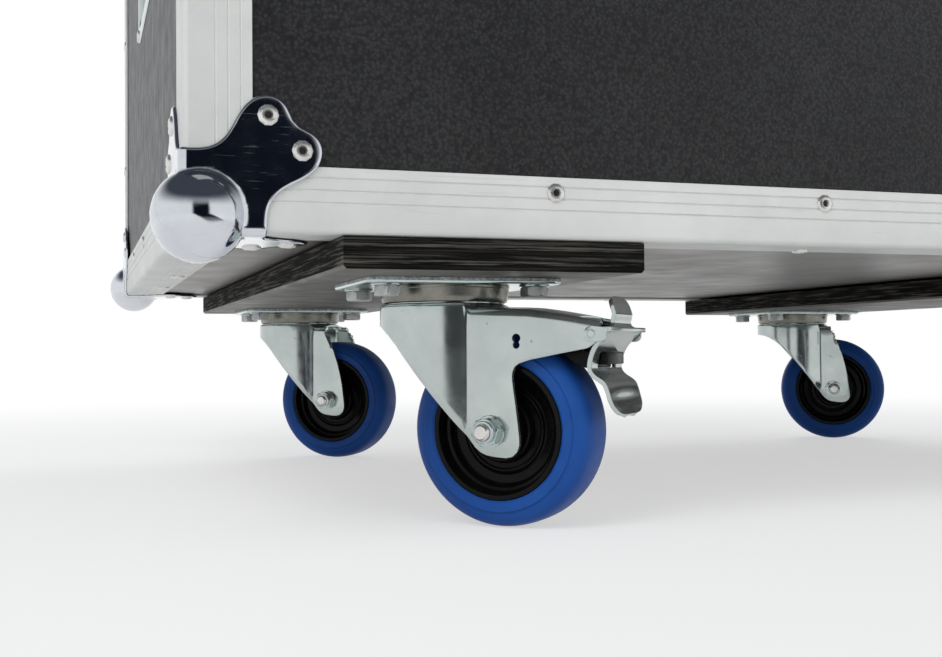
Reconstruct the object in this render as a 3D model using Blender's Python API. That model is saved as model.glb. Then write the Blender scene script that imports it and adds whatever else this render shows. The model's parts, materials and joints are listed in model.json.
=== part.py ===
"""Universal flight case on four castors.

A laminated plywood trunk with a hinged lid, aluminium edge extrusions, ball corners, recessed
butterfly latches and sprung handles. It stands on two plywood castor boards with 100 mm swivel
castors, of which the front two have brakes. Metres, +X to the right, +Y to the back, +Z up,
and the origin on the floor under the middle of the case.
"""

import math

import bmesh
import bpy
from mathutils import Matrix, Vector

# Case shell
CASE_WIDTH = 0.800
CASE_DEPTH = 0.600
CASE_HEIGHT = 0.600
LID_HEIGHT = 0.150
PANEL = 0.009
CLEARANCE = 0.0003

# Aluminium extrusions
FLANGE = 0.030
FLANGE_WALL = 0.0015
EDGE_RADIUS = 0.003
RIM_LIP = 0.012
RIM_LIP_WALL = 0.0015
TONGUE_WIDTH = 0.0030
TONGUE_HEIGHT = 0.0040
TONGUE_SLOPE = 0.0006
TONGUE_PLAY = 0.0008
TONGUE_ROOT = 0.0008
SEAM_GAP = 0.0006

# Ball corners
BALL_RADIUS = 0.0207
BALL_CENTRE = 0.0075
LEAF = 0.0015
LEG_REACH = 0.0362
LEG_SHOULDER = 0.0149
LOBE_REACH = 0.0602
LOBE_SHOULDER = 0.0293
LOBE_NOTCH = 0.0455
LOBE_RADIUS = 0.009
LEG_FILLET = 0.010
NOTCH_FILLET = 0.006

# Castor boards
BOARD_THICKNESS = 0.015
BOARD_WIDTH = 0.150
BOARD_INSET = 0.070
BOARD_END_GAP = 0.001
BOARD_CHAMFER = 0.0015

# Castors
WHEEL_RADIUS = 0.050
WHEEL_WIDTH = 0.036
TYRE_BORE = 0.0362
CASTOR_HEIGHT = 0.128
CASTOR_INSET = 0.088
AXLE_OFFSET = 0.038
PLATE_LENGTH = 0.105
PLATE_WIDTH = 0.085
PLATE_THICKNESS = 0.003
PLATE_CORNER = 0.010
BOLT_SPACING_LONG = 0.080
BOLT_SPACING_SHORT = 0.060
BOLT_HEAD_ACROSS = 0.013
BOLT_HEAD_HEIGHT = 0.0055
WASHER_RADIUS = 0.0085
WASHER_THICKNESS = 0.0015
HEAD_RADIUS = 0.0345
HEAD_DEPTH = 0.0088
KINGPIN_RADIUS = 0.0075
KINGPIN_HEAD_RADIUS = 0.011
KINGPIN_HEAD = 0.003
CROWN_RADIUS = 0.035
FORK_WALL = 0.0025
FORK_HALF_WIDTH = 0.024
SWIVEL_PLAY = 0.0005
LEG_BOTTOM_DROP = 0.0132
LEG_FRONT = 0.0113
LEG_BACK = 0.0155
FOOT_RISE = 0.004
NOSE_ROOM = 0.002
NOSE_DEPTH = 0.008
RAKE_CONTROL = 0.004
RAKE_DROP = 0.0215
FORK_FLAT = 0.006
HUB_BORE = 0.0053
HUB_BOSS_RADIUS = 0.014
HUB_WEB_HALF = 0.004
HUB_RIM_INNER = 0.0325
HUB_RIM_HALF = 0.0165
AXLE_RADIUS = 0.005
NUT_ACROSS = 0.016
NUT_HEIGHT = 0.008
AXLE_END = 0.004
SWIVEL_FRONT_LEFT = 45.4
SWIVEL_REAR_LEFT = 38.4
SWIVEL_FRONT_RIGHT = 52.0
SWIVEL_REAR_RIGHT = 33.0

# Brake
PEDAL_PIVOT_OUT = 0.0935
PEDAL_PIVOT_DOWN = 0.0295
PEDAL_PIN_RADIUS = 0.0020
ARM_END_RADIUS = 0.0038
ARM_TIP = (0.0906, 0.0383)
ARM_START = 0.058
ARM_OPEN = 0.084
ARM_FALL = 0.003
ARM_DROP = 0.0325
PEDAL_WALL = 0.0022
PIN_END = 0.0008
PEDAL_BODY_HALF = 0.0228
PEDAL_TAB_HALF = 0.0125
PEDAL_WINDOW_HALF = 0.0130
PADDLE_END = -0.0395
TAB_END = 0.0185
PEDAL_WEB_LINE = (
    (0.0096, 0.0022), (0.0062, -0.0012), (0.0022, -0.0053), (0.0000, -0.0086), (-0.0012, -0.0122),
    (-0.0017, -0.0165), (-0.0006, -0.0193), (0.0026, -0.0212), (0.0056, -0.0235), (0.0074, -0.0280),
    (0.0092, -0.0336), (0.0114, -0.0400),
)
PEDAL_TAB_LINE = (
    (0.0084, 0.0016), (0.0062, 0.0049), (0.0077, 0.0098), (0.0066, 0.0145), (0.0042, 0.0190),
)
PEDAL_EAR = (
    (0.0102, 0.0034, 0.0), (0.0102, 0.0005, 0.0015), (0.0070, -0.0040, 0.004), (0.0015, -0.0055, 0.004),
    (-0.0040, -0.0040, 0.004), (-0.0048, 0.0010, 0.004), (-0.0020, 0.0046, 0.003), (0.0064, 0.0034, 0.0),
)
SHOE_SIDE = (
    (0.0020, -0.0082), (-0.0080, -0.0086), (-0.0160, -0.0070), (-0.0232, -0.0022), (-0.0240, -0.0046),
    (-0.0175, -0.0120), (-0.0095, -0.0166), (-0.0034, -0.0166), (-0.0034, -0.0149), (0.0020, -0.0149),
)
SHOE_HALF = 0.0120

# Latches
LATCH_SPREAD = 0.575 * CASE_WIDTH
DISH_WALL = 0.0012
DISH_LIP = 0.010
LATCH_WIDTH = 0.112
LATCH_BELOW = 0.070
LATCH_ABOVE = 0.038
LATCH_DEPTH = 0.0092
DISH_DRAFT = 0.0020
DISH_CORNER = 0.010
ROTOR_DROP = 0.028
ROTOR_RADIUS = 0.010
ROTOR_FACE = 0.0042
WING_HALF_WIDTH = 0.021
WING_LENGTH = 0.0175
WING_THICKNESS = 0.0018
WING_AXIS_DEPTH = 0.0021
WING_KNUCKLE = 0.0018
WING_PIN = 0.0009
WING_KNUCKLE_HALF = 0.0076
WING_EAR_WALL = 0.0017
WING_ROOT = 0.0012
WING_EDGE = 0.001
HOOK_HALF_WIDTH = 0.012
HOOK_WALL = 0.0016
HOOK_PIN = 0.0014
HOOK_EAR_GAP = 0.0005
HOOK_EAR_WALL = 0.0025
HOOK_EAR_HALF = 0.0028
HOOK_LIP = 0.0035
HOOK_SHOULDER = 0.009
HOOK_PIVOT_DROP = 0.004
HOOK_PIVOT_DEPTH = 0.0066
HOOK_TILT = 35.0
KEEPER_LOW = 0.010
KEEPER_TOP = 0.016
KEEPER_DEPTH = 0.0044

# Handles
HANDLE_WIDTH = 0.142
HANDLE_HEIGHT = 0.104
HANDLE_DEPTH = 0.0180
HANDLE_DROP = 0.225
BAIL_ROD = 0.0040
BAIL_PIN = 0.0025
BAIL_LUG = 0.0040
GRIP_RADIUS = 0.0075
GRIP_ROOM = 0.001
BAIL_LUG_HALF = 0.0045
BAIL_LUG_FRONT = 0.004
BAIL_AXIS_DROP = 0.020
BAIL_SIDE_ROOM = 0.021
BAIL_END_ROOM = 0.0205
BAIL_HALF_WIDTH = HANDLE_WIDTH / 2 - BAIL_SIDE_ROOM
BAIL_LENGTH = HANDLE_HEIGHT - BAIL_AXIS_DROP - GRIP_RADIUS - BAIL_END_ROOM

# Hinge
HINGE_WIDTH = 0.700
HINGE_KNUCKLES = 7
HINGE_LEAF = 0.0020
HINGE_LEAF_HEIGHT = 0.027
HINGE_KNUCKLE = 0.0042
HINGE_PIN = 0.0018
HINGE_WEB_GAP = 0.0005
HINGE_LEAF_GAP = 0.0008
HINGE_WEB_OVERLAP = 0.003

# Facets round a turned piece
TYRE_SIDES = 24
HUB_SIDES = 16
CROWN_SIDES = 22
RACE_SIDES = 18
BALL_SIDES = 12
BALL_RINGS = 6
SMALL_SIDES = 8

# Heights and faces worked out from the sizes
BOARD_UNDERSIDE = CASTOR_HEIGHT
CASE_BOTTOM = CASTOR_HEIGHT + BOARD_THICKNESS
CASE_TOP = CASE_BOTTOM + CASE_HEIGHT
SEAM = CASE_TOP - LID_HEIGHT
HALF_WIDTH = CASE_WIDTH / 2
HALF_DEPTH = CASE_DEPTH / 2
SKIN = FLANGE_WALL + CLEARANCE
PANEL_INNER = SKIN + PANEL
RIM_REACH = PANEL_INNER + CLEARANCE + RIM_LIP_WALL
LEAF_OUTER = CLEARANCE + LEAF
RIM_WEB = FLANGE_WALL
GROOVE_ROOF = TONGUE_HEIGHT + TONGUE_PLAY + RIM_WEB
AXLE_DROP = CASTOR_HEIGHT - WHEEL_RADIUS
KINGPIN_X = HALF_WIDTH - BOARD_INSET - BOARD_WIDTH / 2
KINGPIN_Y = HALF_DEPTH - CASTOR_INSET
CROWN_TOP = PLATE_THICKNESS + HEAD_DEPTH + SWIVEL_PLAY
HINGE_AXIS_Y = HALF_DEPTH + CLEARANCE + HINGE_KNUCKLE
HINGE_AXIS_Z = SEAM + SEAM_GAP / 2

# Finishes: colour, roughness, metallic
FINISHES = {
    "laminate": ((0.035, 0.036, 0.038), 0.55, 0.0),
    "film_ply": ((0.30, 0.28, 0.27), 0.50, 0.0),
    "aluminium": ((0.80, 0.80, 0.78), 0.35, 0.9),
    "chrome": ((0.85, 0.86, 0.88), 0.06, 1.0),
    "stained_ply": ((0.045, 0.042, 0.038), 0.60, 0.0),
    "zinc": ((0.62, 0.68, 0.69), 0.28, 1.0),
    "blue_rubber": ((0.012, 0.075, 0.30), 0.50, 0.0),
    "black_nylon": ((0.015, 0.015, 0.017), 0.35, 0.0),
}


def clear_scene():
    """Remove whatever objects the scene starts with."""
    for thing in list(bpy.data.objects):
        bpy.data.objects.remove(thing, do_unlink=True)


def make_materials():
    """One Principled material for each finish."""
    made = {}
    for name, (colour, roughness, metallic) in FINISHES.items():
        material = bpy.data.materials.new(name)
        material.use_nodes = True
        shader = material.node_tree.nodes["Principled BSDF"]
        shader.inputs["Base Color"].default_value = (*colour, 1.0)
        shader.inputs["Roughness"].default_value = roughness
        shader.inputs["Metallic"].default_value = metallic
        material.diffuse_color = (*colour, 1.0)
        made[name] = material
    return made


# Solids

def loft(rings, closed=False):
    """A closed solid through rings of points: capped at both ends, or joined end to start."""
    solid = bmesh.new()
    rows = [[solid.verts.new(point) for point in ring] for ring in rings]
    count = len(rows[0])
    pairs = list(zip(rows, rows[1:]))
    if closed:
        pairs.append((rows[-1], rows[0]))
    for low, high in pairs:
        for i in range(count):
            j = (i + 1) % count
            solid.faces.new((low[i], low[j], high[j], high[i]))
    if not closed:
        solid.faces.new(rows[0])
        solid.faces.new(rows[-1])
    bmesh.ops.recalc_face_normals(solid, faces=solid.faces)
    return solid


def prism(outline, low, high, axis):
    """An outline pushed along an axis; its own two coordinates are the other axes, in order."""
    place = {
        "X": lambda u, v, w: (w, u, v),
        "Y": lambda u, v, w: (u, w, v),
        "Z": lambda u, v, w: (u, v, w),
    }[axis]
    return loft([[place(u, v, w) for u, v in outline] for w in (low, high)])


def box(low, high):
    """A rectangular block between two corners."""
    outline = [(low[0], low[1]), (high[0], low[1]), (high[0], high[1]), (low[0], high[1])]
    return prism(outline, low[2], high[2], "Z")


def circle(radius, height, sides, turn=0.0):
    """A ring of points round the Z axis."""
    angles = [2 * math.pi * (i + turn) / sides for i in range(sides)]
    return [(radius * math.cos(a), radius * math.sin(a), height) for a in angles]


def turned(profile, sides, closed=False, turn=0.0):
    """A solid of revolution about Z from (radius, height) points."""
    return loft([circle(r, z, sides, turn) for r, z in profile], closed)


def rod(radius, low, high, sides, turn=0.0):
    """A plain round bar along Z."""
    return turned([(radius, low), (radius, high)], sides, turn=turn)


def lie_along(solid, axis, centre=(0, 0, 0)):
    """Turn a solid made about Z so that it lies along X or Y, and move it."""
    turn = {
        "X": Matrix.Rotation(math.pi / 2, 4, "Y"),
        "Y": Matrix.Rotation(-math.pi / 2, 4, "X"),
        "Z": Matrix.Identity(4),
    }[axis]
    solid.transform(Matrix.Translation(Vector(centre)) @ turn)
    return solid


def moved(solid, offset):
    """The solid, moved in place."""
    solid.transform(Matrix.Translation(Vector(offset)))
    return solid


def mirrored(solid, signs):
    """A copy with some axes mirrored, its faces still pointing out."""
    copy = solid.copy()
    copy.transform(Matrix.Diagonal((*signs, 1.0)))
    if signs[0] * signs[1] * signs[2] < 0:
        bmesh.ops.reverse_faces(copy, faces=copy.faces)
    return copy


def combine(first, second, operation):
    """Boolean of two closed solids: UNION, DIFFERENCE or INTERSECT."""
    objects = []
    for solid in (first, second):
        mesh = bpy.data.meshes.new("operand")
        solid.to_mesh(mesh)
        solid.free()
        thing = bpy.data.objects.new("operand", mesh)
        bpy.context.scene.collection.objects.link(thing)
        objects.append(thing)
    modifier = objects[0].modifiers.new("boolean", "BOOLEAN")
    modifier.object = objects[1]
    modifier.operation = operation
    modifier.solver = "EXACT"
    evaluated = objects[0].evaluated_get(bpy.context.evaluated_depsgraph_get())
    result = bmesh.new()
    result.from_mesh(evaluated.to_mesh())
    evaluated.to_mesh_clear()
    for thing in objects:
        mesh = thing.data
        bpy.data.objects.remove(thing, do_unlink=True)
        bpy.data.meshes.remove(mesh)
    bmesh.ops.dissolve_limit(result, angle_limit=0.0005, verts=result.verts, edges=result.edges)
    return result


def union(first, *others):
    """Several overlapping solids fused into one."""
    for other in others:
        first = combine(first, other, "UNION")
    return first


def cut(first, *cutters):
    """A solid with cutters taken out of it."""
    for cutter in cutters:
        first = combine(first, cutter, "DIFFERENCE")
    return first


# Outlines

def rounded(corners, steps):
    """An outline whose corners (x, y, radius) are rounded by tangent arcs."""
    points = []
    count = len(corners)
    for i, (x, y, radius) in enumerate(corners):
        here = Vector((x, y))
        if radius <= 0:
            points.append((x, y))
            continue
        back = (Vector(corners[i - 1][:2]) - here).normalized()
        ahead = (Vector(corners[(i + 1) % count][:2]) - here).normalized()
        half = math.acos(max(-1.0, min(1.0, back.dot(ahead)))) / 2
        reach = radius / math.tan(half)
        centre = here + (back + ahead).normalized() * (radius / math.sin(half))
        first = here + back * reach - centre
        last = here + ahead * reach - centre
        sweep = first.angle_signed(last)
        for step in range(steps + 1):
            arm = first.copy()
            arm.rotate(Matrix.Rotation(-sweep * step / steps, 2))
            points.append(tuple(centre + arm))
    return points


def rectangle(left, right, low, high, radius, steps=2):
    """A rectangle's outline with rounded corners."""
    corners = [(left, low, radius), (right, low, radius), (right, high, radius), (left, high, radius)]
    return rounded(corners, steps)


def bend(start, control, end, steps):
    """Points of a quadratic curve, without its two ends."""
    points = []
    for step in range(1, steps):
        t = step / steps
        points.append(tuple(
            (1 - t) ** 2 * a + 2 * t * (1 - t) * b + t * t * c
            for a, b, c in zip(start, control, end)
        ))
    return points


def across_flats(width):
    """The radius to the corners of a hexagon that measures this width across its flats."""
    return width / 2 / math.cos(math.pi / 6)


# Objects and joints

def pivot(name, location, turn=0.0, parent=None):
    """An empty on a joint's axis, which carries what moves there."""
    empty = bpy.data.objects.new(name, None)
    bpy.context.scene.collection.objects.link(empty)
    empty.empty_display_size = 0.03
    empty.parent = parent
    empty.location = location
    empty.rotation_euler = (0.0, 0.0, turn)
    bpy.context.view_layer.update()
    return empty


def add(name, solid, finish, carrier=None, local=False):
    """Make a named object; a world-space solid is moved into its carrier's own frame."""
    if carrier is not None and not local:
        solid.transform(carrier.matrix_world.inverted())
    mesh = bpy.data.meshes.new(name)
    solid.to_mesh(mesh)
    solid.free()
    mesh.shade_smooth()
    mesh.set_sharp_from_angle(angle=math.radians(32))
    mesh.materials.append(MATERIALS[finish])
    thing = bpy.data.objects.new(name, mesh)
    bpy.context.scene.collection.objects.link(thing)
    thing.parent = carrier
    return thing


# Panels

def latch_centres():
    """X of each latch."""
    return (-LATCH_SPREAD / 2, LATCH_SPREAD / 2)


def latch_pockets(back):
    """Blocks that clear both latch dishes, from outside the case in to a depth."""
    half = LATCH_WIDTH / 2 - DISH_LIP + DISH_WALL + CLEARANCE
    low = SEAM - LATCH_BELOW + DISH_LIP - DISH_WALL - CLEARANCE
    high = SEAM + LATCH_ABOVE - DISH_LIP + DISH_WALL + CLEARANCE
    front = -HALF_DEPTH - 0.01
    return [box((x - half, front, low), (x + half, back, high)) for x in latch_centres()]


def handle_pocket(side, inner):
    """A block that clears a handle dish on the left (-1) or right (1) end."""
    half = HANDLE_WIDTH / 2 - DISH_LIP + DISH_WALL + CLEARANCE
    high = SEAM - HANDLE_DROP + HANDLE_HEIGHT / 2 - DISH_LIP + DISH_WALL + CLEARANCE
    low = high - HANDLE_HEIGHT + 2 * (DISH_LIP - DISH_WALL - CLEARANCE)
    ends = sorted((side * (HALF_WIDTH + 0.01), side * inner))
    return box((ends[0], -half, low), (ends[1], half, high))


def latch_pocket_back():
    """How far in from the front a latch dish and its clearance reach."""
    return -HALF_DEPTH + LATCH_DEPTH + DISH_WALL + CLEARANCE


def handle_pocket_inner():
    """The X, from the middle of the case, where a handle dish's pocket ends."""
    return HALF_WIDTH - SKIN - HANDLE_DEPTH - DISH_WALL - CLEARANCE


def shell_walls(inset, thickness, low, high):
    """Four upright sheets: front, back, left and right, with the sides between the others."""
    x, y = HALF_WIDTH - inset, HALF_DEPTH - inset
    side = y - thickness - CLEARANCE
    return {
        "front": box((-x, -y, low), (x, -y + thickness, high)),
        "back": box((-x, y - thickness, low), (x, y, high)),
        "left": box((-x, -side, low), (-x + thickness, side, high)),
        "right": box((x - thickness, -side, low), (x, side, high)),
    }


def block_inside(inset, low, high):
    """A block this far inside the case's four upright faces, between two heights."""
    x, y = HALF_WIDTH - inset, HALF_DEPTH - inset
    return box((-x, -y, low), (x, y, high))


def build_panels(lid):
    """Plywood panels of the body and the lid, with pockets for the dishes."""
    pocket_end = -HALF_DEPTH + RIM_REACH
    low = CASE_BOTTOM + SKIN
    high = SEAM - RIM_WEB - CLEARANCE
    walls = shell_walls(SKIN, PANEL, low, high)
    walls["front"] = cut(walls["front"], *latch_pockets(pocket_end))
    for side, name in ((-1, "left"), (1, "right")):
        walls[name] = cut(walls[name], handle_pocket(side, handle_pocket_inner()))
    for name, solid in walls.items():
        add(f"panel_{name}", solid, "laminate")
    add("panel_bottom", block_inside(PANEL_INNER + CLEARANCE, low, low + PANEL), "film_ply")

    low = SEAM + SEAM_GAP + GROOVE_ROOF + CLEARANCE
    high = CASE_TOP - SKIN
    walls = shell_walls(SKIN, PANEL, low, high)
    walls["front"] = cut(walls["front"], *latch_pockets(pocket_end))
    for name, solid in walls.items():
        add(f"lid_panel_{name}", solid, "laminate", lid)
    add("lid_panel_top", block_inside(PANEL_INNER + CLEARANCE, high - PANEL, high), "laminate", lid)


# Extrusions: the edge, corner and rim sections of the body are one riveted frame, and so are
# those of the lid.

def edged_block(low, high, plain):
    """The case's outer block between two heights, its edges rounded except at the seam."""
    solid = box((-HALF_WIDTH, -HALF_DEPTH, low), (HALF_WIDTH, HALF_DEPTH, high))
    edges = [
        edge for edge in solid.edges
        if not all(abs(vertex.co.z - plain) < CLEARANCE for vertex in edge.verts)
    ]
    bmesh.ops.bevel(
        solid, geom=edges, offset=EDGE_RADIUS, segments=2, profile=0.5, affect="EDGES",
        clamp_overlap=True)
    return solid


def ring(section):
    """A rectangular ring round the case, from (inset, height) points, mitred at its corners."""
    rings = []
    for sx, sy in ((-1, -1), (1, -1), (1, 1), (-1, 1)):
        rings.append([(sx * (HALF_WIDTH - u), sy * (HALF_DEPTH - u), z) for u, z in section])
    return loft(rings, closed=True)


def windows(low, high, flat):
    """Blocks that leave only the flanges: through the front, back and ends, and one flat face."""
    x, y = HALF_WIDTH - FLANGE, HALF_DEPTH - FLANGE
    far = CASE_WIDTH
    flat_ends = sorted((flat, (low + high) / 2))
    return [
        box((-x, -far, low), (x, far, high)),
        box((-far, -y, low), (far, y, high)),
        box((-x, -y, flat_ends[0]), (x, y, flat_ends[1])),
    ]


def tongue_span():
    """Outer and inner foot of the tongue, from the case's outer face."""
    middle = PANEL_INNER / 2 + FLANGE_WALL / 2
    half = TONGUE_WIDTH / 2 + TONGUE_SLOPE
    return middle - half, middle + half


def body_frame():
    """Edge and corner extrusions of the body, and the rim with its lip and tongue."""
    low, high = CASE_BOTTOM, SEAM
    web = high - RIM_WEB
    cavity = union(
        block_inside(FLANGE_WALL, low + FLANGE_WALL, web), block_inside(RIM_REACH, web - 0.01, high + 0.01))
    lip_outer = PANEL_INNER + CLEARANCE
    lip = ring([(lip_outer, high - RIM_LIP), (RIM_REACH, high - RIM_LIP),
                (RIM_REACH, high), (lip_outer, high)])
    cavity = cut(cavity, lip)
    solid = cut(edged_block(low, high, high), cavity)
    near, far = tongue_span()
    tongue = ring([(near, high - TONGUE_ROOT), (far, high - TONGUE_ROOT), (far, high),
                   (far - TONGUE_SLOPE, high + TONGUE_HEIGHT),
                   (near + TONGUE_SLOPE, high + TONGUE_HEIGHT), (near, high)])
    solid = union(solid, tongue)
    solid = cut(solid, *windows(low + FLANGE, high - FLANGE, low - 0.01))
    return cut(solid, *latch_pockets(latch_pocket_back()))


def lid_frame():
    """Edge and corner extrusions of the lid, and the rim with the groove for the tongue."""
    low, high = SEAM + SEAM_GAP, CASE_TOP
    roof = low + GROOVE_ROOF
    cavity = union(
        block_inside(FLANGE_WALL, roof, high - FLANGE_WALL), block_inside(RIM_REACH, low - 0.01, roof + 0.01))
    lip_outer = PANEL_INNER + CLEARANCE
    lip = ring([(lip_outer, low), (RIM_REACH, low),
                (RIM_REACH, roof + RIM_LIP), (lip_outer, roof + RIM_LIP)])
    cavity = cut(cavity, lip)
    solid = cut(edged_block(low, high, low), cavity)
    near, far = tongue_span()
    near, far = near - TONGUE_PLAY, far + TONGUE_PLAY
    deep = low + TONGUE_HEIGHT + TONGUE_PLAY
    channel = ring([(near, low - 0.001), (near, low), (near + TONGUE_SLOPE, deep),
                    (far - TONGUE_SLOPE, deep), (far, low), (far, low - 0.001)])
    solid = cut(solid, channel)
    solid = cut(solid, *windows(low + FLANGE, high - FLANGE, high + 0.01))
    return cut(solid, *latch_pockets(latch_pocket_back()))


def build_frames(lid):
    """The aluminium extrusions."""
    add("body_frame", body_frame(), "aluminium")
    add("lid_frame", lid_frame(), "aluminium", lid)


# Corner fittings

def leaf_outline():
    """Outline of one leaf of a ball corner, from the case's corner along both edges."""
    corners = [
        (-LEAF_OUTER, -LEAF_OUTER, 0), (LEG_REACH, -LEAF_OUTER, 0),
        (LEG_REACH, LEG_SHOULDER, LEG_FILLET), (LOBE_REACH, LOBE_SHOULDER, LOBE_RADIUS),
        (LOBE_REACH, LOBE_NOTCH, LOBE_RADIUS), (LOBE_NOTCH, LOBE_NOTCH, NOTCH_FILLET),
        (LOBE_NOTCH, LOBE_REACH, LOBE_RADIUS), (LOBE_SHOULDER, LOBE_REACH, LOBE_RADIUS),
        (LEG_SHOULDER, LEG_REACH, LEG_FILLET), (-LEAF_OUTER, LEG_REACH, 0),
    ]
    return rounded(corners, 2)


def ball_corner():
    """A steel ball on three shaped leaves, for a case corner at (0, 0, 0) reaching to +++."""
    outline = leaf_outline()
    leaves = [prism(outline, -LEAF_OUTER, -CLEARANCE, axis) for axis in "XYZ"]
    angles = [math.pi * (i + 0.5) / BALL_RINGS for i in range(BALL_RINGS)]
    profile = [(BALL_RADIUS * math.sin(a), -BALL_RADIUS * math.cos(a)) for a in angles]
    ball = moved(turned(profile, BALL_SIDES), (BALL_CENTRE,) * 3)
    inside = -CLEARANCE
    reach = BALL_CENTRE + BALL_RADIUS + 0.01
    ball = cut(ball, box((inside,) * 3, (reach,) * 3))
    return union(ball, *leaves)


def corner_names():
    """Each upright corner's name and the signs of its X and Y."""
    return (("front_left", -1, -1), ("front_right", 1, -1), ("rear_left", -1, 1), ("rear_right", 1, 1))


def build_corners(lid):
    """Ball corners of the body and of the lid."""
    master = ball_corner()
    for name, sx, sy in corner_names():
        for level, height, up, carrier in (("body", CASE_BOTTOM, 1, None), ("lid", CASE_TOP, -1, lid)):
            corner = mirrored(master, (-sx, -sy, up))
            corner = moved(corner, (sx * HALF_WIDTH, sy * HALF_DEPTH, height))
            add(f"{level}_ball_corner_{name}", corner, "chrome", carrier)
    master.free()


# Hinge

def knuckle(start, end, leaf_side):
    """A hinge knuckle between two X values, with the web that joins it to its leaf."""
    barrel = lie_along(rod(HINGE_KNUCKLE, start, end, SMALL_SIDES), "X", (0, HINGE_AXIS_Y, HINGE_AXIS_Z))
    near = HALF_DEPTH + CLEARANCE
    ends = sorted((HINGE_AXIS_Z + leaf_side * HINGE_WEB_GAP,
                   HINGE_AXIS_Z + leaf_side * (HINGE_KNUCKLE + HINGE_WEB_OVERLAP)))
    web = box((start, near, ends[0]), (end, near + HINGE_LEAF, ends[1]))
    return union(barrel, web)


def hinge_side(leaf_side):
    """The leaf and knuckles of the long hinge on the body (-1) or on the lid (1)."""
    half = HINGE_WIDTH / 2
    near = HALF_DEPTH + CLEARANCE
    start = HINGE_AXIS_Z + leaf_side * (HINGE_KNUCKLE + HINGE_LEAF_GAP)
    ends = sorted((start, HINGE_AXIS_Z + leaf_side * HINGE_LEAF_HEIGHT))
    solid = box((-half, near, ends[0]), (half, near + HINGE_LEAF, ends[1]))
    share = HINGE_WIDTH / HINGE_KNUCKLES
    for i in range(0 if leaf_side < 0 else 1, HINGE_KNUCKLES, 2):
        inset = 0.0 if leaf_side < 0 else CLEARANCE
        solid = union(solid, knuckle(-half + i * share + inset, -half + (i + 1) * share - inset, leaf_side))
    return solid


def build_hinge(lid):
    """One continuous hinge across the seam at the back; its pin is fast in the body's knuckles."""
    half = HINGE_WIDTH / 2
    place = (0, HINGE_AXIS_Y, HINGE_AXIS_Z)
    pin = lie_along(rod(HINGE_PIN, -half - 0.001, half + 0.001, SMALL_SIDES), "X", place)
    add("hinge_body_leaf", union(hinge_side(-1), pin), "zinc")
    bore = lie_along(rod(HINGE_PIN + CLEARANCE, -half - 0.01, half + 0.01, SMALL_SIDES), "X", place)
    add("hinge_lid_leaf", cut(hinge_side(1), bore), "zinc", lid)


# Dishes

def dish(left, right, low, high, depth):
    """A pressed dish with a flat lip, in a frame whose Y runs into the case from its face."""
    lip, wall, draft = DISH_LIP, DISH_WALL, DISH_DRAFT
    front = -CLEARANCE - wall
    corner = DISH_CORNER

    def rim(inset, level, radius):
        outline = rectangle(left + inset, right - inset, low + inset, high - inset, radius)
        return [(x, level, z) for x, z in outline]

    return loft([
        rim(lip + draft + wall, depth, corner / 2),
        rim(lip, front, corner),
        rim(0.0, front, corner),
        rim(0.0, front + wall, corner),
        rim(lip - wall, front + wall, corner),
        rim(lip + draft, depth + wall, corner / 2),
    ])


def latch_half(x, above):
    """The body's or the lid's half of a latch dish, parted at the seam."""
    half = LATCH_WIDTH / 2
    whole = dish(x - half, x + half, SEAM - LATCH_BELOW, SEAM + LATCH_ABOVE, LATCH_DEPTH)
    far = 0.2
    part = SEAM + SEAM_GAP
    if above:
        other = box((x - far, -far, SEAM - far), (x + far, far, part))
    else:
        other = box((x - far, -far, SEAM), (x + far, far, SEAM + far))
    solid = cut(whole, other)
    return moved(solid, (0, -HALF_DEPTH, 0))


def latch_keeper(x):
    """The step in the lid's dish that the hook swings over."""
    low, high = SEAM + KEEPER_LOW, SEAM + KEEPER_TOP
    y = -HALF_DEPTH
    return box((x - HOOK_HALF_WIDTH, y + KEEPER_DEPTH, low),
               (x + HOOK_HALF_WIDTH, y + LATCH_DEPTH + DISH_WALL / 2, high))


def hook_bracket(x):
    """Two bored ears on the body's dish that carry the hook's pin."""
    y, z = -HALF_DEPTH + HOOK_PIVOT_DEPTH, SEAM - HOOK_PIVOT_DROP
    ears = []
    reach = 2 * HOOK_HALF_WIDTH
    for s in (-1, 1):
        outer = x + s * (HOOK_HALF_WIDTH + HOOK_EAR_GAP + HOOK_EAR_WALL)
        inner = x + s * (HOOK_HALF_WIDTH + HOOK_EAR_GAP)
        ends = sorted((outer, inner))
        floor = -HALF_DEPTH + LATCH_DEPTH + DISH_WALL / 2
        ear = box((ends[0], y - HOOK_EAR_WALL, z - HOOK_EAR_HALF), (ends[1], floor, z + HOOK_EAR_HALF))
        bore = lie_along(rod(HOOK_PIN + CLEARANCE, x - reach, x + reach, 8), "X", (0, y, z))
        ears.append(cut(ear, bore))
    return ears


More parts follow.
